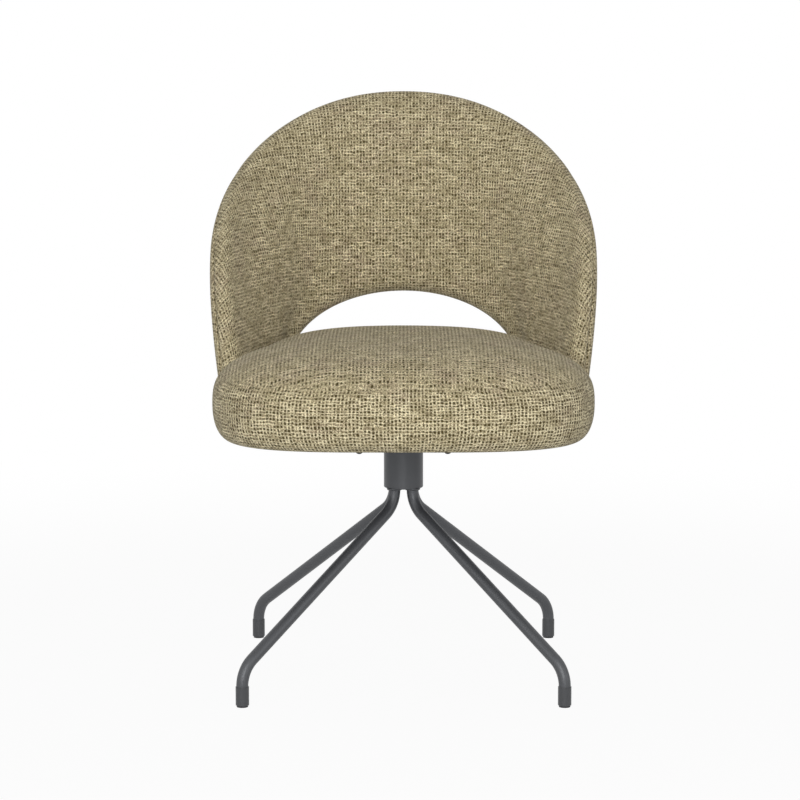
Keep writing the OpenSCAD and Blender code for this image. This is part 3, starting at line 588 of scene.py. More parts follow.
@dataclass(frozen=True)
class BackForm:
    """Curved shell of the back and wings, with an opening over the seat."""

    wing_y: float = -36 * MM
    half_t: float = 24 * MM
    wide_z: float = 575 * MM
    rim_half_w: float = 243.6 * MM
    rim_rise: float = 196 * MM
    rim_power: float = 2.13
    rim_top_z: float = 771 * MM
    rear: float = 300 * MM
    lean: float = 8.0
    shell_w: float = 513 * MM
    shell_wide_z: float = 690 * MM
    shell_narrowing: float = 39 * MM
    taper_power: float = 1.4
    plan_power: float = 2.7
    opening_half_w: float = 187 * MM
    opening_z: float = 400 * MM
    opening_rise: float = 131 * MM
    foot_z: float = 345 * MM
    end_z: float = 351 * MM
    upright_z: float = 400 * MM
    wing_lean_power: float = 1.6
    crown: float = 4 * MM

    def half_w(self, z: Span) -> np.ndarray:
        """Half width of the plan curve at a height."""
        drop = np.abs(z - self.shell_wide_z) / (self.shell_wide_z - self.foot_z)
        return self.shell_w / 2 - self.shell_narrowing * drop ** self.taper_power

    def depth(self, z: Span) -> np.ndarray:
        """Depth of the plan curve at a height, from the wings to the rear."""
        slope = math.tan(math.radians(self.lean))
        return self.rear - self.half_t - (self.rim_top_z - z) * slope - self.wing_y

    def point(self, turn: Span, z: Span) -> np.ndarray:
        """Points on the middle of the shell; a turn is 0 at the rear, in radians.

        Args:
            turn: turns about the upright axis.
            z: heights.

        Returns:
            The points, with a last axis of three numbers.
        """
        sine, cosine = np.sin(turn), np.cos(turn)
        r = oval_r(self.half_w(z), self.depth(z), self.plan_power, sine, cosine)
        return np.stack([r * sine, self.wing_y + r * cosine, z + 0 * r], axis=-1)

    def turn_at_x(self, x: Span, z: Span) -> np.ndarray:
        """Turn at which the shell's middle passes a distance x from the middle plane.

        Args:
            x: distance from the middle plane, to the right.
            z: height.

        Returns:
            The turn in radians.
        """
        share = np.minimum(1.0, np.abs(x) / self.half_w(z))
        reach = (1 - share ** self.plan_power) ** (1 / self.plan_power)
        return np.arctan2(x, self.depth(z) * reach)

    def turn_at_y(self, y: Span, z: Span) -> np.ndarray:
        """Turn at which the shell's middle passes a distance y behind the wings.

        Args:
            y: distance behind the wings.
            z: height.

        Returns:
            The turn in radians.
        """
        share = np.clip(y / self.depth(z), 0.0, 1.0)
        reach = (1 - share ** self.plan_power) ** (1 / self.plan_power)
        return np.arctan2(self.half_w(z) * reach, y)

    def off(self, turn: np.ndarray, z: np.ndarray) -> np.ndarray:
        """Unit vectors off the shell, towards the sitter.

        Args:
            turn: turns of the points.
            z: their heights.

        Returns:
            The vectors, with a last axis of three numbers.
        """
        a, h = math.radians(0.5), 1 * MM
        along = self.point(turn + a, z) - self.point(turn - a, z)
        up = self.point(turn, z + h) - self.point(turn, z - h)
        out = np.cross(along, up)
        return out / np.linalg.norm(out, axis=-1, keepdims=True)

    def rims(self, way: np.ndarray) -> tuple[np.ndarray, np.ndarray]:
        """Turn and height of the outer rim and of the opening's rim.

        Args:
            way: 0 at the top, 1 where the wings begin and 2 at a wing's end.

        Returns:
            The outer rim's places and the opening's, each with a last axis of turn and height.
        """
        angle = np.minimum(way, 1.0) * math.pi / 2
        down = np.clip(way - 1.0, 0.0, 1.0)
        r = oval_r(self.rim_half_w, self.rim_rise, self.rim_power, np.sin(angle), np.cos(angle))
        arch_z = self.wide_z + r * np.cos(angle)
        wing_z = self.wide_z + (self.end_z - self.wide_z) * down
        share = np.clip((wing_z - self.upright_z) / (self.wide_z - self.upright_z), 0.0, 1.0)
        corner = self.point(self.turn_at_x(self.rim_half_w, self.wide_z), self.wide_z)
        back = (corner[1] - self.wing_y) * share ** self.wing_lean_power
        z = np.where(way <= 1.0, arch_z, wing_z)
        turn = np.where(way <= 1.0, self.turn_at_x(r * np.sin(angle), z), self.turn_at_y(back, z))
        in_arch = self.opening_z + self.opening_rise * np.cos(angle)
        in_wing = self.opening_z + (self.end_z - self.opening_z) * down
        in_z = np.where(way <= 1.0, in_arch, in_wing)
        in_turn = self.turn_at_x(self.opening_half_w * np.sin(angle), in_z)
        return np.stack([turn, z], -1), np.stack([in_turn, in_z], -1)

    def between(self, way: np.ndarray, share: np.ndarray) -> np.ndarray:
        """Turn and height at a share of the band, from 0 at the opening to 1 at the outer rim."""
        outer, inner = self.rims(np.abs(way))
        return inner + (outer - inner) * share[..., None]

    def band_length(self, way: np.ndarray) -> np.ndarray:
        """Length of the shell between its two rims.

        Args:
            way: places along the back, from 0 at the top to 2 at a wing's end.

        Returns:
            The lengths.
        """
        outer, inner = self.rims(way)
        shares = np.linspace(0, 1, 25).reshape((-1,) + (1,) * outer.ndim)
        places = inner + (outer - inner) * shares
        points = self.point(places[..., 0], places[..., 1])
        return np.linalg.norm(np.diff(points, axis=0), axis=-1).sum(0)

    def place(
        self, way: np.ndarray, share: np.ndarray, past: np.ndarray, off: np.ndarray, size: np.ndarray
    ) -> np.ndarray:
        """Points of sections that are carried round the back.

        Args:
            way: place along the back, from -2 at one wing's end to 2 at the other's.
            share: 0 at the opening's rim and 1 at the outer rim.
            past: distance past that share, across the band.
            off: distance off the shell, towards the sitter.
            size: factor by which a section is drawn in.

        Returns:
            The points.
        """
        spot = self.between(way, share + size * past / self.band_length(np.abs(way)))
        normal = self.off(spot[..., 0], spot[..., 1])
        point = self.point(spot[..., 0], spot[..., 1]) + (size * off)[..., None] * normal
        point[..., 0] *= np.where(way < 0, -1.0, 1.0)
        return point

    def cloth_place(self, way: np.ndarray, whole: np.ndarray) -> np.ndarray:
        """Place on the cloth, in metres: along the plan curve and up the shell.

        Args:
            way: place along the back.
            whole: share of the band, past its rims too.

        Returns:
            The places, with a last axis of two numbers.
        """
        spot = self.between(way, whole)
        turn, z = spot[..., 0], spot[..., 1]
        steps = np.linspace(0, 1, 33).reshape((-1,) + (1,) * turn.ndim)
        plan = self.point(turn * steps, z + 0 * steps)
        along = np.linalg.norm(np.diff(plan, axis=0), axis=-1).sum(0)
        side = np.where(way < 0, -1.0, 1.0)
        return np.stack([side * along, z / math.cos(math.radians(self.lean))], -1)


@dataclass(frozen=True)
class SeatForm:
    """Outline and profile of the seat cushion."""

    middle_y: float = -60 * MM
    half_w: float = 257.5 * MM
    front: float = 202 * MM
    front_power: float = 3.1
    rear_half_w: float = 222 * MM
    rear: float = 252 * MM
    rear_power: float = 3.0
    shoulder_from: float = 81.0
    shoulder_to: float = 97.0
    base_z: float = 342 * MM
    wide_z: float = 391 * MM
    crown_z: float = 479 * MM
    rear_powers: tuple[float, float] = (3.0, 3.1)
    front_powers: tuple[float, float] = (2.3, 2.4)
    under_power: float = 2.35
    draw_in: float = 28 * MM

    def outline(self, turn: np.ndarray) -> np.ndarray:
        """Distance from the middle to the widest outline; a turn is 0 at the rear.

        Args:
            turn: turns in radians.

        Returns:
            The distances.
        """
        s, c = np.sin(turn), np.cos(turn)
        front_r = oval_r(self.half_w, self.front, self.front_power, s, c)
        rear_r = oval_r(self.rear_half_w, self.rear, self.rear_power, s, c)
        angle = np.degrees(np.abs(np.arctan2(s, c)))
        share = smooth((angle - self.shoulder_from) / (self.shoulder_to - self.shoulder_from))
        return rear_r + (front_r - rear_r) * share

    def dome(self, turn: np.ndarray, share: np.ndarray) -> np.ndarray:
        """Height over the widest line, from 1 at the crown to 0; fuller towards the rear.

        Args:
            turn: turn in radians.
            share: share of the way from the crown to the side.

        Returns:
            The share of the crown's height.
        """
        rear = (1 + np.cos(turn)) / 2
        fall = self.front_powers[0] + (self.rear_powers[0] - self.front_powers[0]) * rear
        edge = self.front_powers[1] + (self.rear_powers[1] - self.front_powers[1]) * rear
        return (1 - np.minimum(share, 1.0) ** fall) ** (1 / edge)

    def spot(self, turn: np.ndarray, r: np.ndarray, z: Span) -> np.ndarray:
        """Points at a distance from the middle."""
        return np.stack([r * np.sin(turn), r * np.cos(turn) + self.middle_y, z + 0 * r], -1)


# Padded pieces


def new_piece(
    name: str, bm: bmesh.types.BMesh, body: Body, material: bpy.types.Material
) -> bpy.types.Object:
    """Makes an object of a bmesh, at the origin, and lets it ride on a body.

    Args:
        name: name of the piece.
        bm: its mesh, which is freed.
        body: body that it rides on.
        material: its finish.

    Returns:
        The piece.
    """
    mesh = bpy.data.meshes.new(name)
    bm.to_mesh(mesh)
    bm.free()
    mesh.materials.append(material)
    for polygon in mesh.polygons:
        polygon.use_smooth = True
    piece = bpy.data.objects.new(name, mesh)
    bpy.context.scene.collection.objects.link(piece)
    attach(piece, body.value)
    log.info("%s: %d faces", name, len(mesh.polygons))
    return piece


def subdivided(piece: bpy.types.Object) -> None:
    """Gives a piece one level of subdivision.

    Args:
        piece: the piece.
    """
    rounding = piece.modifiers.new("rounding", "SUBSURF")
    rounding.levels = 1
    rounding.render_levels = 1


def coordinates(mesh: bpy.types.Mesh) -> np.ndarray:
    """Vertices of a mesh as rows of three numbers.

    Args:
        mesh: the mesh.

    Returns:
        One row for each vertex.
    """
    flat = np.zeros(len(mesh.vertices) * 3)
    mesh.vertices.foreach_get("co", flat)
    return flat.reshape(-1, 3)


@dataclass(frozen=True)
class Plumping:
    """Cloth simulation that lets the padding press a cover out."""

    pressure: float = 4.0
    frames: int = 20
    cap: float = 6 * MM
    tension: float = 30.0
    bending: float = 8.0
    mass: float = 0.3
    quality: int = 4

    def run(self, piece: bpy.types.Object) -> None:
        """Swells a piece and keeps the result in its mesh.

        Args:
            piece: closed cover in its start shape, with its freedom from 0 to 1 as attribute free.
        """
        scene = bpy.context.scene
        free = np.zeros(len(piece.data.vertices))
        piece.data.attributes["free"].data.foreach_get("value", free)
        group = piece.vertex_groups.new(name="held")
        for index, share in enumerate(1 - free):
            if share > 0.01:
                group.add([index], float(share), "REPLACE")
        cloth = piece.modifiers.new("plumping", "CLOTH")
        settings = cloth.settings
        settings.quality = self.quality
        settings.mass = self.mass
        settings.tension_stiffness = self.tension
        settings.compression_stiffness = self.tension
        settings.shear_stiffness = self.tension / 2
        settings.bending_stiffness = self.bending
        settings.vertex_group_mass = group.name
        settings.use_pressure = True
        settings.uniform_pressure_force = self.pressure
        settings.effector_weights.gravity = 0
        cloth.collision_settings.use_collision = False
        cloth.point_cache.frame_start = 1
        cloth.point_cache.frame_end = self.frames
        for frame in range(1, self.frames + 1):
            scene.frame_set(frame)
        swollen = piece.evaluated_get(bpy.context.evaluated_depsgraph_get())
        start = coordinates(piece.data)
        moved = coordinates(swollen.data) - start
        length = np.linalg.norm(moved, axis=1, keepdims=True)
        moved *= np.minimum(1.0, self.cap / np.maximum(length, 1e-9))
        piece.modifiers.remove(cloth)
        piece.vertex_groups.remove(group)
        scene.frame_set(1)
        piece.data.vertices.foreach_set("co", (start + moved).ravel())
        piece.data.update()
        log.info("%s: swollen by %.1f mm on average", piece.name, 1000 * length.mean())


@dataclass
class PaddedBack:
    """Back and wings in two upholstered halves that meet in a seam on the rear side."""

    form: BackForm = BackForm()
    cloth: WovenCloth = WovenCloth()
    plumping: Plumping = Plumping()
    gap: float = 0.2 * MM
    start_inset: float = 0.3 * MM
    seam_depth: float = 1.6 * MM
    seam_reach: float = 2.4 * MM
    seam_turn: float = -45.0
    edge_round: float = 90 * MM
    edge_round_to: float = 1.85
    edge_round_fade: float = 0.4
    edge_round_at_top: float = 0.5
    corner_fill: float = 14 * MM
    corner_turn: float = 47.0
    corner_spread: float = 19.0
    corner_fade: float = 0.6
    core_rear: float = -14 * MM
    core_front: float = -4 * MM
    face_points: int = 36
    arch_rows: int = 96
    wing_rows: int = 34
    end_rows: int = 5
    end_share: float = 0.8
    level_from: float = 1.75
    rim_spread: tuple[float, ...] = (0.0, 0.02, 0.045, 0.075, 0.12, 0.19, 0.28, 0.38, 0.50, 0.63, 0.76, 0.88)
    rear_picks: tuple[int, ...] = (0, 2, 4, 5, 7, 9, 10)

    def rim_turns(self, front: bool) -> np.ndarray:
        """Angles from the tip at which a rim has points, close together at the seam.

        Args:
            front: True for the half towards the sitter.

        Returns:
            The angles in degrees, from the seam to the face.
        """
        spread = np.array(self.rim_spread)
        end = 90.0 if front else -90.0
        opened = math.degrees(self.gap / 2 / self.form.half_t) * (1 if front else -1)
        start = self.seam_turn + opened
        return start + (end - start) * (spread if front else spread[list(self.rear_picks)])

    def section(self, front: bool) -> dict[str, np.ndarray]:
        """One half's skin and the pocket side behind it, from the outer seam to the opening's.

        Args:
            front: True for the half towards the sitter.

        Returns:
            Arrays of share, past and off for the skin, of past and off for the pocket, of the
            cloth's way past the share, and of the freedom in the simulation.
        """
        r = self.form.half_t
        turns = np.radians(self.rim_turns(front))
        arc = r * np.abs(turns - turns[0])
        groove = self.seam_depth * np.exp(-((arc / self.seam_reach) ** 2))
        rim_r = r - groove
        shares = np.linspace(1, 0, self.face_points)
        crown = self.form.crown * (1 - (2 * shares - 1) ** 2) if front else 0 * shares
        face_off = (r + crown) * (1 if front else -1)
        past_face = r * np.abs(turns - math.radians(90 if front else -90))
        pocket_off = self.core_front + self.gap if front else self.core_rear - self.gap
        rise = np.linspace(0, 1, len(turns), endpoint=False)
        rim_pocket = self.core_rear + (pocket_off - self.core_rear) * rise
        ones, face = np.ones(len(turns)), 0 * shares
        return {
            "share": np.concatenate([ones, shares, 0 * ones]),
            "past": np.concatenate([rim_r * np.cos(turns), face, -(rim_r * np.cos(turns))[::-1]]),
            "off": np.concatenate([rim_r * np.sin(turns), face_off, (rim_r * np.sin(turns))[::-1]]),
            "pocket_past": np.concatenate([ones * self.gap, face, -ones * self.gap]),
            "pocket_off": np.concatenate([rim_pocket, face + pocket_off, rim_pocket[::-1]]),
            "cloth_past": np.concatenate([past_face, face, -past_face[::-1]]),
            "free": np.concatenate([0 * ones, smooth(np.minimum(shares, 1 - shares) * 5), 0 * ones]),
        }

    def rows(self) -> dict[str, np.ndarray]:
        """Places along the back of the rows of points, with the wings' ends drawn in.

        Returns:
            For each row its way along the back, its size, and its drop under the end of the wing.
        """
        arch = np.linspace(-1, 1, self.arch_rows + 1)
        wing = np.linspace(1, 2, self.wing_rows + 1)[1:]
        angle = np.linspace(0, math.pi / 2, self.end_rows + 1)[1:]
        way = np.concatenate([-2 + 0 * angle, -wing[::-1], arch, wing, 2 + 0 * angle])
        size = 1 - (1 - self.end_share) * (1 - np.cos(angle))
        drop = (self.form.end_z - self.form.foot_z) * np.sin(angle)
        middle = 0 * np.concatenate([wing, arch, wing])
        return {
            "way": way,
            "size": np.concatenate([size[::-1], 1 + middle, size]),
            "drop": np.concatenate([drop[::-1], middle, drop]),
        }

    def half(self, name: str, front: bool, swell: bool) -> bpy.types.Object:
        """Builds one upholstered half as a closed form.

        Args:
            name: name of the piece.
            front: True for the half towards the sitter.
            swell: True if the half is swollen by simulation.

        Returns:
            The piece.
        """
        section, rows = self.section(front), self.rows()
        inset = self.start_inset * section["free"] if swell else 0 * section["free"]
        centre = 1 - inset / self.form.half_t
        way, share = np.meshgrid(rows["way"], section["share"], indexing="ij")
        size = np.broadcast_to(rows["size"][:, None], way.shape)
        past, off = section["past"] * centre, section["off"] * centre + 0 * way
        if front:
            off = self.softened(way, share, past, off)
        skin = self.form.place(way, share, past, off, size)
        pocket = self.form.place(way, share, section["pocket_past"], section["pocket_off"], size)
        cloth_past = section["cloth_past"] / self.form.band_length(np.abs(way))
        cloth = self.form.cloth_place(way, share + cloth_past)
        level = self.form.between(way, share)[..., 1] - rows["drop"][:, None]
        flat = smooth((np.abs(way) - self.level_from) / (2 - self.level_from))
        for side in (skin, pocket):
            side[..., 2] += (level - side[..., 2]) * flat
        points = np.concatenate([skin, pocket[:, ::-1], skin[:, :1]], axis=1)
        cloth = np.concatenate([cloth, cloth[:, ::-1], cloth[:, :1]], axis=1)
        free = np.concatenate([section["free"], 0 * section["free"], [0.0]])
        points, cloth = self.closed_ends(points, skin, pocket), self.doubled_ends(cloth)
        ways = np.abs(np.concatenate([[2], rows["way"], [2]]))
        keep = smooth((2 - ways) / (2 - self.level_from))
        return self.mesh(name, points, cloth, free[None, :] * keep[:, None])

    def softened(
        self, way: np.ndarray, share: np.ndarray, past: np.ndarray, off: np.ndarray
    ) -> np.ndarray:
        """Rounds the sitter's side wide towards the outer rim and fills the corners behind the wings.

        Args:
            way: place along the back.
            share: 0 at the opening's rim and 1 at the outer rim.
            past: distance past that share, across the band.
            off: distance off the shell.

        Returns:
            The changed distance off the shell.
        """
        r = self.form.half_t
        inside = r + (1 - share) * self.form.band_length(np.abs(way)) - past
        low = self.edge_round_at_top
        wing = smooth((self.edge_round_to - np.abs(way)) / self.edge_round_fade)
        wing = wing * (low + (1 - low) * smooth(np.abs(way)))
        left = np.clip(1 - inside / (r + self.edge_round * wing), 0, 1)
        full = np.where(share >= 1, r, off)
        turn = np.degrees(self.form.between(way, share)[..., 0])
        corner = np.exp(-(((turn - self.corner_turn) / self.corner_spread) ** 2))
        corner = corner * smooth(np.minimum(share, 1 - share) * 3)
        corner = corner * smooth((2 - np.abs(way)) / self.corner_fade)
        return np.where(off > 0, full * np.sqrt(1 - left ** 2), off) + self.corner_fill * corner

    def closed_ends(self, points: np.ndarray, skin: np.ndarray, pocket: np.ndarray) -> np.ndarray:
        """Adds a row at each end in which the skin and the pocket side meet.

        Args:
            points: rows of points.
            skin: their part on the skin.
            pocket: their part in the pocket.

        Returns:
            The rows with one more at each end.
        """
        rows = []
        for row in (0, -1):
            middle = (skin[row] + pocket[row]) / 2
            rows.append(np.concatenate([middle, middle[::-1], middle[:1]]))
        return np.concatenate([rows[0][None], points, rows[1][None]])

    def doubled_ends(self, rows: np.ndarray) -> np.ndarray:
        """Repeats the first and the last row."""
        return np.concatenate([rows[:1], rows, rows[-1:]])

    def mesh(self, name: str, points: np.ndarray, cloth: np.ndarray, free: np.ndarray) -> bpy.types.Object:
        """Lays a grid onto rows of points and closes it.

        Args:
            name: name of the piece.
            points: places of the rows of points.
            cloth: the same rows on the cloth.
            free: the same rows' freedom in the simulation.

        Returns:
            The piece.
        """
        count = points.shape[:2]
        bm = bmesh.new()
        bmesh.ops.create_grid(bm, x_segments=count[1] - 1, y_segments=count[0] - 1, size=1.0)
        layers = [bm.verts.layers.float.new(key) for key in ("cloth_u", "cloth_v", "free")]
        for vertex in bm.verts:
            column = round((vertex.co.x + 1) / 2 * (count[1] - 1))
            row = round((vertex.co.y + 1) / 2 * (count[0] - 1))
            vertex.co = points[row, column]
            vertex[layers[0]], vertex[layers[1]] = cloth[row, column]
            vertex[layers[2]] = free[row, column]
        bmesh.ops.remove_doubles(bm, verts=bm.verts, dist=MERGE)
        bmesh.ops.recalc_face_normals(bm, faces=bm.faces)
        weave = bm.loops.layers.uv.new("weave")
        for face in bm.faces:
            for loop in face.loops:
                loop[weave].uv = (loop.vert[layers[0]], loop.vert[layers[1]])
        return new_piece(name, bm, Body.SEAT, self.cloth.material(("weave",)))

    def build(self) -> list[bpy.types.Object]:
        """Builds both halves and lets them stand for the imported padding.

        Returns:
            The front half and the rear half.
        """
        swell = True
        front = self.half("back_pad_front", True, swell)
        rear = self.half("back_pad_rear", False, False)
        if swell:
            self.plumping.run(front)
        for piece in (front, rear):
            subdivided(piece)
        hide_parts("back_foam_front", "back_cover_front")
        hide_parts("back_foam_rear", "back_cover_rear")
        return [front, rear]


@dataclass
class SeatCushion:
    """Domed seat cushion with its cover turned in under the board's margin."""

    form: SeatForm = SeatForm()
    cloth: WovenCloth = WovenCloth()
    plumping: Plumping = Plumping(cap=7 * MM)
    start_inset: float = 1.0 * MM
    spokes: int = 224
    dome_rings: int = 32
    under_rings: int = 12
    hem: float = 22 * MM
    hem_t: float = 1.6 * MM
    pocket_inset: float = 29.8 * MM
    pocket_top_z: float = 356 * MM
    board_half_w: float = 177.3 * MM
    wing_room: float = 1.0 * MM
    wing_half_t: float = 25 * MM
    wing_reach: float = 50 * MM
    cover_reach: float = 8 * MM
    beside_x: float = 150 * MM
    beside_y: float = -100 * MM
    ring_crowding: float = 1.8
    held_from: float = 0.7
    held_most: float = 0.9
    side_from: float = 0.925
    side_over: float = 0.065
    mean_r: float = 240 * MM
    pocket_rings: int = 5

    def profile(self, inset: float) -> dict[str, np.ndarray]:
        """Rings from the crown over the side and the hem to the middle of the board's pocket.

        Args:
            inset: distance by which the crown and the side start drawn in.

        Returns:
            For each ring its share of the outline, its draw from it, its height, how free it
            is in the simulation, and how far it shows the side's weave.
        """
        form = self.form
        rise = np.linspace(0, 1, self.dome_rings + 1)
        share = 1 - (1 - rise) ** self.ring_crowding
        dome_z = form.wide_z + (form.crown_z - inset - form.wide_z) * form.dome(math.pi / 2, share)
        angle = np.linspace(0, math.pi / 2, self.under_rings + 1)[1:]
        drop = np.sin(angle) ** (2 / form.under_power)
        draw = 1 - np.maximum(np.cos(angle), 0) ** (2 / form.under_power)
        under_z = form.wide_z - (form.wide_z - form.base_z) * drop
        reach = form.draw_in + self.hem
        hem_z = form.base_z + self.hem_t
        turned_in = [
            (1, form.draw_in + self.hem / 2, form.base_z),
            (1, reach, form.base_z),
            (1, reach, hem_z),
            (1, self.pocket_inset, hem_z),
            (1, self.pocket_inset, self.pocket_top_z),
            (0.6, self.pocket_inset, self.pocket_top_z),
            (0.3, self.pocket_inset, self.pocket_top_z),
            (0, 0, self.pocket_top_z),
        ]
        part, inwards, height = np.array(turned_in).T
        lower = inset * (1 - draw)
        free = 1 - self.held_most * smooth((share - self.held_from) / (1 - self.held_from))
        side = smooth((share - self.side_from) / self.side_over)
        return {
            "share": np.concatenate([share, 1 + 0 * angle, part]),
            "draw": np.concatenate([inset * share, lower + form.draw_in * draw, inwards * part]),
            "z": np.concatenate([dome_z, under_z, height]),
            "free": np.concatenate([free, 0 * angle, 0 * part]),
            "side": np.concatenate([side, 1 + 0 * angle, 1 + 0 * part]),
        }

    def build(self, back: list[bpy.types.Object]) -> bpy.types.Object:
        """Builds the cushion from a sphere's rings and presses it in beside the wings.

        Args:
            back: finished halves of the back, which the cushion keeps clear of.

        Returns:
            The piece.
        """
        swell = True
        profile = self.profile(self.start_inset if swell else 0.0)
        rings = len(profile["z"]) - 1
        bm = bmesh.new()
        bmesh.ops.create_uvsphere(bm, u_segments=self.spokes, v_segments=rings, radius=1.0)
        side = bm.verts.layers.float.new("side_share")
        free = bm.verts.layers.float.new("free")
        along = bm.verts.layers.float.new("along")
        down = bm.verts.layers.float.new("down")
        lengths, depths = self.side_lengths(profile)
        for vertex in bm.verts:
            ring = round(math.acos(max(-1.0, min(1.0, vertex.co.z))) / math.pi * rings)
            turn = math.atan2(vertex.co.x, vertex.co.y)
            outline = float(self.form.outline(np.array(turn)))
            r = outline * profile["share"][ring] - profile["draw"][ring]
            z = profile["z"][ring]
            if ring < self.dome_rings:
                height = self.form.dome(np.array(turn), profile["share"][ring])
                z = self.form.wide_z + (profile["z"][0] - self.form.wide_z) * height
            vertex.co = self.form.spot(np.array(turn), np.array(r), z)
            if ring > rings - self.pocket_rings and vertex.co.y > self.form.middle_y:
                vertex.co.x = max(-self.board_half_w, min(self.board_half_w, vertex.co.x))
            vertex[side], vertex[free] = profile["side"][ring], profile["free"][ring]
            vertex[along] = float(np.interp(math.degrees(turn) % 360, *lengths))
            vertex[down] = depths[ring]
        bmesh.ops.recalc_face_normals(bm, faces=bm.faces)
        self.lay_cloth(bm, along, down, lengths[1][-1])
        material = self.cloth.material(("top", "side"), "side_share")
        cushion = new_piece("seat_cushion", bm, Body.SEAT, material)
        if swell:
            self.plumping.run(cushion)
        self.press_in(cushion, back)
        subdivided(cushion)
        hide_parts("seat_foam", "seat_cover")
        return cushion

    def side_lengths(
        self, profile: dict[str, np.ndarray]
    ) -> tuple[tuple[np.ndarray, np.ndarray], np.ndarray]:
        """Lengths round the outline by angle, and heights of the rings on the side's cloth.

        Args:
            profile: rings of the cushion.

        Returns:
            Angles in degrees with the lengths up to them, and the heights of the rings.
        """
        angles = np.linspace(0, 360, 721)
        spots = self.form.spot(np.radians(angles), self.form.outline(np.radians(angles)), 0.0)
        lengths = np.concatenate([[0], np.cumsum(np.linalg.norm(np.diff(spots, axis=0), axis=1))])
        r = self.mean_r * profile["share"] - profile["draw"]
        steps = np.hypot(np.diff(r), np.diff(profile["z"]))
        depths = np.concatenate([[0], np.cumsum(steps)])
        return (angles, lengths), -depths

    def lay_cloth(
        self,
        bm: bmesh.types.BMesh,
        along: bmesh.types.BMLayerItem,
        down: bmesh.types.BMLayerItem,
        whole: float,
    ) -> None:
        """Gives the top a map seen from above, and the side a map along the outline.

        Args:
            bm: the cushion's mesh.
            along: layer of lengths round the outline.
            down: layer of heights on the side's cloth.
            whole: length of the whole outline.
        """
        top, side = bm.loops.layers.uv.new("top"), bm.loops.layers.uv.new("side")
        for face in bm.faces:
            places = [loop.vert[along] for loop in face.loops]
            wraps = max(places) - min(places) > whole / 2
            for loop, place in zip(face.loops, places):
                loop[top].uv = loop.vert.co.xy
                place += whole if wraps and place < whole / 2 else 0.0
                loop[side].uv = (place, loop.vert[down])

    def press_in(self, cushion: bpy.types.Object, back: list[bpy.types.Object]) -> None:
        """Moves what would stand in a wing out of it, as the wing presses the padding in.

        Args:
            cushion: the cushion.
            back: the back's halves.
        """
        points = coordinates(cushion.data)
        aside, behind = np.abs(points[:, 0]) > self.beside_x, points[:, 1] > self.beside_y
        middle = self.wing_middles()
        covers = [BVHTree.FromObject(piece, bpy.context.evaluated_depsgraph_get()) for piece in back]
        for index in np.flatnonzero(aside & behind):
            point = Vector(points[index])
            near, _, _, distance = middle.find_nearest(point, self.wing_reach)
            if near is not None and distance < self.wing_half_t:
                point = near + (point - near).normalized() * self.wing_half_t
            for cover in covers:
                near, normal, _, _ = cover.find_nearest(point, self.cover_reach)
                if near is not None and (point - near).dot(normal) < self.wing_room:
                    point = near + normal * self.wing_room
            points[index] = point
        cushion.data.vertices.foreach_set("co", points.ravel())
        cushion.data.update()

    def wing_middles(self) -> BVHTree:
        """Middle surface of both wings, as a search tree.

        Returns:
            The tree.
        """
        back = BackForm()
        bm = bmesh.new()
        for side in (-1, 1):
            made = bmesh.ops.create_grid(bm, x_segments=30, y_segments=60, size=1.0)
            for vertex in made["verts"]:
                way = np.array(side * (1.5 + 0.5 * vertex.co.y))
                share = np.array((vertex.co.x + 1) / 2)
                vertex.co = back.place(way, share, 0 * way, 0 * way, 0 * way)
        tree = BVHTree.FromBMesh(bm)
        bm.free()
        return tree


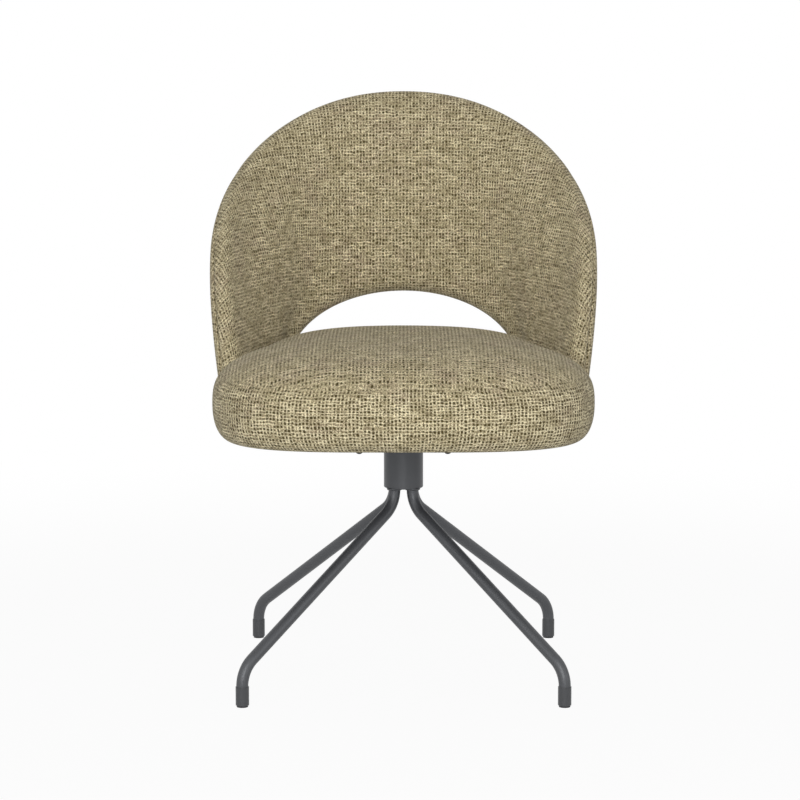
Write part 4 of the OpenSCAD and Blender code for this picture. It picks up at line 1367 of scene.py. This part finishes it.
@dataclass
class DustCloth:
    """Thin black cloth stapled over the seat's underside."""

    form: SeatForm = SeatForm()
    finish: SpunCloth = SpunCloth()
    staple_steel: PlatedSteel = PlatedSteel("staple_steel", (0.62, 0.62, 0.64), (0.42, 0.42, 0.44), 0.3)
    margin: float = 44 * MM
    staple_inset: float = 7 * MM
    base_z: float = 341.6 * MM
    sheet_t: float = 0.3 * MM
    spokes: int = 120
    rings: int = 14
    staples: int = 40
    staple_w: float = 10 * MM
    wire: float = 0.7 * MM
    flattening: float = 1.4
    sink: float = 0.7
    rounding: float = 0.3

    def edge(self, turn: float, margin: float) -> Vector:
        """Point of the cloth's outline, at a margin inside the seat's."""
        r = self.form.outline(np.array(turn)) - margin
        return Vector(self.form.spot(np.array(turn), r, self.base_z))

    def build(self) -> list[bpy.types.Object]:
        """Builds the cloth and its staples.

        Returns:
            The cloth and the staples.
        """
        bm = bmesh.new()
        bmesh.ops.create_circle(bm, cap_ends=True, cap_tris=True, segments=self.spokes, radius=1.0)
        spokes = [edge for edge in bm.edges if min(v.co.xy.length for v in edge.verts) < 0.5]
        bmesh.ops.subdivide_edges(bm, edges=spokes, cuts=self.rings, use_grid_fill=True)
        for vertex in bm.verts:
            share = vertex.co.xy.length
            turn = math.atan2(vertex.co.x, vertex.co.y)
            place = self.edge(turn, self.margin)
            middle = Vector((0, self.form.middle_y, self.base_z))
            vertex.co = middle + (place - middle) * share
        bmesh.ops.recalc_face_normals(bm, faces=bm.faces)
        area = sum(face.calc_area() for face in bm.faces)
        cloth = new_piece("dust_cloth", bm, Body.SEAT, self.finish.material())
        thick = cloth.modifiers.new("thickness", "SOLIDIFY")
        thick.thickness = self.sheet_t
        thick.offset = 0.0
        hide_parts("dust_cover")
        return [cloth, self.build_staples()]

    def build_staples(self) -> bpy.types.Object:
        """Builds the staples along the cloth's edge.

        Returns:
            The piece.
        """
        bm = bmesh.new()
        for number in range(self.staples):
            turn = 2 * math.pi * (number + 0.5) / self.staples
            place = self.edge(turn, self.margin + self.staple_inset)
            ahead = self.edge(turn + 0.01, self.margin + self.staple_inset)
            made = bmesh.ops.create_cube(bm, size=1.0)
            size = (self.staple_w, self.wire * self.flattening, self.wire)
            bmesh.ops.scale(bm, verts=made["verts"], vec=size)
            way = (ahead - place).normalized()
            turned = Vector((1, 0, 0)).rotation_difference(way).to_matrix()
            bmesh.ops.rotate(bm, verts=made["verts"], cent=(0, 0, 0), matrix=turned)
            drop = Vector((0, 0, -self.wire * self.sink))
            bmesh.ops.translate(bm, verts=made["verts"], vec=place + drop)
        bmesh.ops.bevel(
            bm,
            geom=bm.edges[:],
            offset=self.wire * self.rounding,
            affect="EDGES",
            segments=2,
            profile=0.5,
            material=-1,
        )
        piece = new_piece("dust_cloth_staples", bm, Body.SEAT, self.staple_steel.material())
        return piece


@dataclass
class SwivelBase:
    """Legs, feet and hub of the base, with the weld beads where the legs meet the hub."""

    coat: PowderCoat = PowderCoat("frame_powder_coat", (0.078, 0.081, 0.087))
    sleeve: MouldedPlastic = MouldedPlastic("sleeve_plastic", (0.050, 0.052, 0.056), 0.42)
    bush: MouldedPlastic = MouldedPlastic("bush_plastic", (0.62, 0.60, 0.55), 0.45)
    felt: PressedFelt = PressedFelt()
    steel: PlatedSteel = PlatedSteel("zinc_plate", (0.60, 0.60, 0.61), (0.43, 0.44, 0.45))
    leg_r: float = 8 * MM
    leg_top_r: float = 17.4 * MM
    hub_base_z: float = 258.5 * MM
    bead: float = 2.2 * MM
    bead_out: float = 0.25
    bead_sink: float = 0.15
    bead_steps: int = 48
    ripples: int = 22
    ripple_depth: float = 0.02

    def nodes(self) -> dict[str, Finish]:
        """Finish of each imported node, by the start of the node's name.

        Returns:
            The finishes.
        """
        return {
            "leg_": self.coat,
            "foot_sleeve": self.sleeve,
            "foot_pad": self.felt,
            "hub_": self.coat,
            "lower_bush": self.bush,
            "upper_bush": self.bush,
            "thrust_washer": self.steel,
        }

    def build(self) -> bpy.types.Object:
        """Builds the weld beads round the legs' tops.

        Returns:
            The piece.
        """
        bm = bmesh.new()
        for place in ("front_left", "front_right", "rear_left", "rear_right"):
            low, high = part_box("foot_pad_" + place)
            out = Vector(((low.x + high.x) / 2, (low.y + high.y) / 2, 0)).normalized()
            centre = out * self.leg_top_r + Vector((0, 0, self.hub_base_z))
            made = bmesh.ops.create_circle(bm, segments=10, radius=self.bead)
            upright = Vector((0, 0, 1)).rotation_difference(Vector((0, 1, 0))).to_matrix()
            bmesh.ops.rotate(bm, verts=made["verts"], cent=(0, 0, 0), matrix=upright)
            out_x, sink = self.bead * self.bead_out, self.bead * self.bead_sink
            start = centre + Vector((self.leg_r + out_x, 0, -sink))
            bmesh.ops.translate(bm, verts=made["verts"], vec=start)
            ring = [edge for edge in bm.edges if edge.is_wire]
            bmesh.ops.spin(
                bm,
                geom=made["verts"] + ring,
                cent=centre,
                axis=(0, 0, 1),
                angle=2 * math.pi,
                steps=self.bead_steps,
                use_merge=True,
            )
            for vertex in bm.verts:
                spoke = vertex.co - centre
                if spoke.length < 3 * self.leg_r / 2:
                    wave = math.sin(math.atan2(spoke.y, spoke.x) * self.ripples)
                    vertex.co = centre + spoke * (1 + self.ripple_depth * wave)
        bmesh.ops.remove_doubles(bm, verts=bm.verts, dist=MERGE)
        bmesh.ops.recalc_face_normals(bm, faces=bm.faces)
        piece = new_piece("weld_beads", bm, Body.BASE, self.coat.material())
        return piece


@dataclass
class SeatCarrier:
    """Spindle, plate, rails, brackets and fasteners that carry the seat and the back."""

    coat: PowderCoat = PowderCoat("carrier_powder_coat", (0.030, 0.031, 0.033), 0.5)
    zinc: PlatedSteel = PlatedSteel("zinc_screw_plate", (0.60, 0.60, 0.61), (0.43, 0.44, 0.45))
    black: PlatedSteel = PlatedSteel("black_oxide", (0.045, 0.045, 0.048), (0.02, 0.02, 0.022), 0.4)
    wood: Plywood = Plywood()

    def nodes(self) -> dict[str, Finish]:
        """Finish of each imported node, by the start of the node's name.

        Returns:
            The finishes.
        """
        return {
            "spindle": self.zinc,
            "retaining_washer": self.zinc,
            "retaining_screw": self.black,
            "seat_plate": self.coat,
            "seat_bolts": self.black,
            "seat_washers": self.zinc,
            "seat_nuts": self.zinc,
            "cross_rail": self.coat,
            "wing_bracket": self.coat,
            "wing_spacers": self.zinc,
            "wing_screws": self.zinc,
            "seat_board": self.wood,
            "back_shell": self.wood,
        }


def dress(nodes: dict[str, bpy.types.Object], finishes: dict[str, Finish]) -> None:
    """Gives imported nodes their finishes.

    Args:
        nodes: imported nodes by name.
        finishes: finish by the start of a node's name.
    """
    made: dict[str, bpy.types.Material] = {}
    for name, node in nodes.items():
        for start, finish in finishes.items():
            if not name.startswith(start):
                continue
            if finish.name not in made:
                made[finish.name] = finish.material()
            for place in node.material_slots:
                place.material = made[finish.name]
            log.info("%s: %s", name, finish.name)


@dataclass
class Studio:
    """Pale floor, soft studio lamps and the camera."""

    camera_place: tuple[float, float, float] = (0.0, -3.831, 0.891)
    camera_pitch: float = 82.39
    lens: float = 126.6
    sensor: float = 36.0
    shift_x: float = -0.0044
    view_depth: float = 100.0
    lamp_aim_z: float = 0.45
    sky_strength: float = 0.30
    floor_grey: Colour = (0.8, 0.8, 0.8)
    floor_size: float = 40.0
    floor_shadow: float = 0.06
    floor_near: float = 0.7
    floor_far: float = 2.0

    def camera(self) -> None:
        """Makes the camera."""
        data = bpy.data.cameras.new("camera")
        data.lens = self.lens
        data.sensor_width = self.sensor
        data.shift_x = self.shift_x
        data.clip_end = self.view_depth
        camera = bpy.data.objects.new("camera", data)
        camera.location = self.camera_place
        camera.rotation_euler = (math.radians(self.camera_pitch), 0.0, 0.0)
        bpy.context.scene.collection.objects.link(camera)
        bpy.context.scene.camera = camera

    def lamp(self, name: str, place: tuple[float, float, float], size: float, power: float) -> None:
        """Makes a soft square lamp that points at the middle of the chair.

        Args:
            name: name of the lamp.
            place: its place.
            size: length of its side.
            power: its power in watts.
        """
        data = bpy.data.lights.new(name, "AREA")
        data.shape = "SQUARE"
        data.size = size
        data.energy = power
        lamp = bpy.data.objects.new(name, data)
        lamp.location = place
        aim = Vector((0, 0, self.lamp_aim_z)) - Vector(place)
        lamp.rotation_euler = aim.to_track_quat("-Z", "Y").to_euler()
        bpy.context.scene.collection.objects.link(lamp)

    def floor_paint(self) -> bpy.types.Material:
        """Makes the floor's material, which is white to the camera but for the chair's shadow.

        Returns:
            The material.
        """
        paint = Paint.new("pale_floor")
        lit = paint.node("ShaderNodeBsdfDiffuse", {}, {"Color": self.floor_grey})
        white = paint.node("ShaderNodeEmission", {}, {"Color": WHITE, "Strength": 1.0})
        across, along, _ = paint.parts(paint.place())
        away = (across * across + along * along) ** 0.5
        shadow = self.floor_shadow
        plain = away.step(self.floor_near, self.floor_far) * shadow + (1 - shadow)
        sockets = {0: paint.seen() * plain, 1: lit.outputs[0], 2: white.outputs[0]}
        mix = paint.node("ShaderNodeMixShader", {}, sockets)
        paint.node("ShaderNodeOutputMaterial", {}, {"Surface": mix.outputs[0]})
        return paint.owner

    def floor(self) -> None:
        """Makes the floor."""
        bm = bmesh.new()
        bmesh.ops.create_grid(bm, x_segments=1, y_segments=1, size=self.floor_size / 2)
        mesh = bpy.data.meshes.new("floor")
        bm.to_mesh(mesh)
        bm.free()
        floor = bpy.data.objects.new("floor", mesh)
        bpy.context.scene.collection.objects.link(floor)
        mesh.materials.append(self.floor_paint())

    def build(self) -> None:
        """Makes the floor, the world, the lamps and the camera."""
        bpy.context.scene.view_settings.view_transform = "Standard"
        self.floor()
        self.world()
        for lamp in self.lamps():
            self.lamp(*lamp)
        self.camera()

    def lamps(self) -> list[tuple[str, tuple[float, float, float], float, float]]:
        """Name, place, size and power of each lamp.

        Returns:
            One row for each lamp, in metres and watts.
        """
        return [
            ("front_lamp", (-0.3, -3.8, 1.6), 2.4, 88.0),
            ("left_lamp", (-2.4, -2.0, 1.2), 1.8, 9.0),
            ("right_lamp", (2.4, -2.0, 1.2), 1.8, 12.0),
            ("top_lamp", (0.0, 1.6, 3.0), 2.0, 4.5),
        ]

    def world(self) -> None:
        """Makes the even light from all round, and the white that is seen behind the chair."""
        world = bpy.data.worlds.new("studio")
        bpy.context.scene.world = world
        sky = Paint(world)
        lit = sky.node("ShaderNodeBackground", {}, {"Color": WHITE, "Strength": self.sky_strength})
        white = sky.node("ShaderNodeBackground", {}, {"Color": WHITE, "Strength": 1.0})
        sockets = {0: sky.seen(), 1: lit.outputs[0], 2: white.outputs[0]}
        mix = sky.node("ShaderNodeMixShader", {}, sockets)
        sky.node("ShaderNodeOutputWorld", {}, {"Surface": mix.outputs[0]})


def main() -> None:
    """Builds the chair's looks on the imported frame."""
    logging.basicConfig(level=logging.INFO, format="%(name)s: %(message)s")
    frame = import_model()
    base, carrier = SwivelBase(), SeatCarrier()
    dress(frame["nodes"], base.nodes())
    dress(frame["nodes"], carrier.nodes())
    base.build()
    back = PaddedBack().build()
    SeatCushion().build(back)
    DustCloth().build()
    Studio().build()
    bpy.context.view_layer.update()


if __name__ == "__main__":
    main()
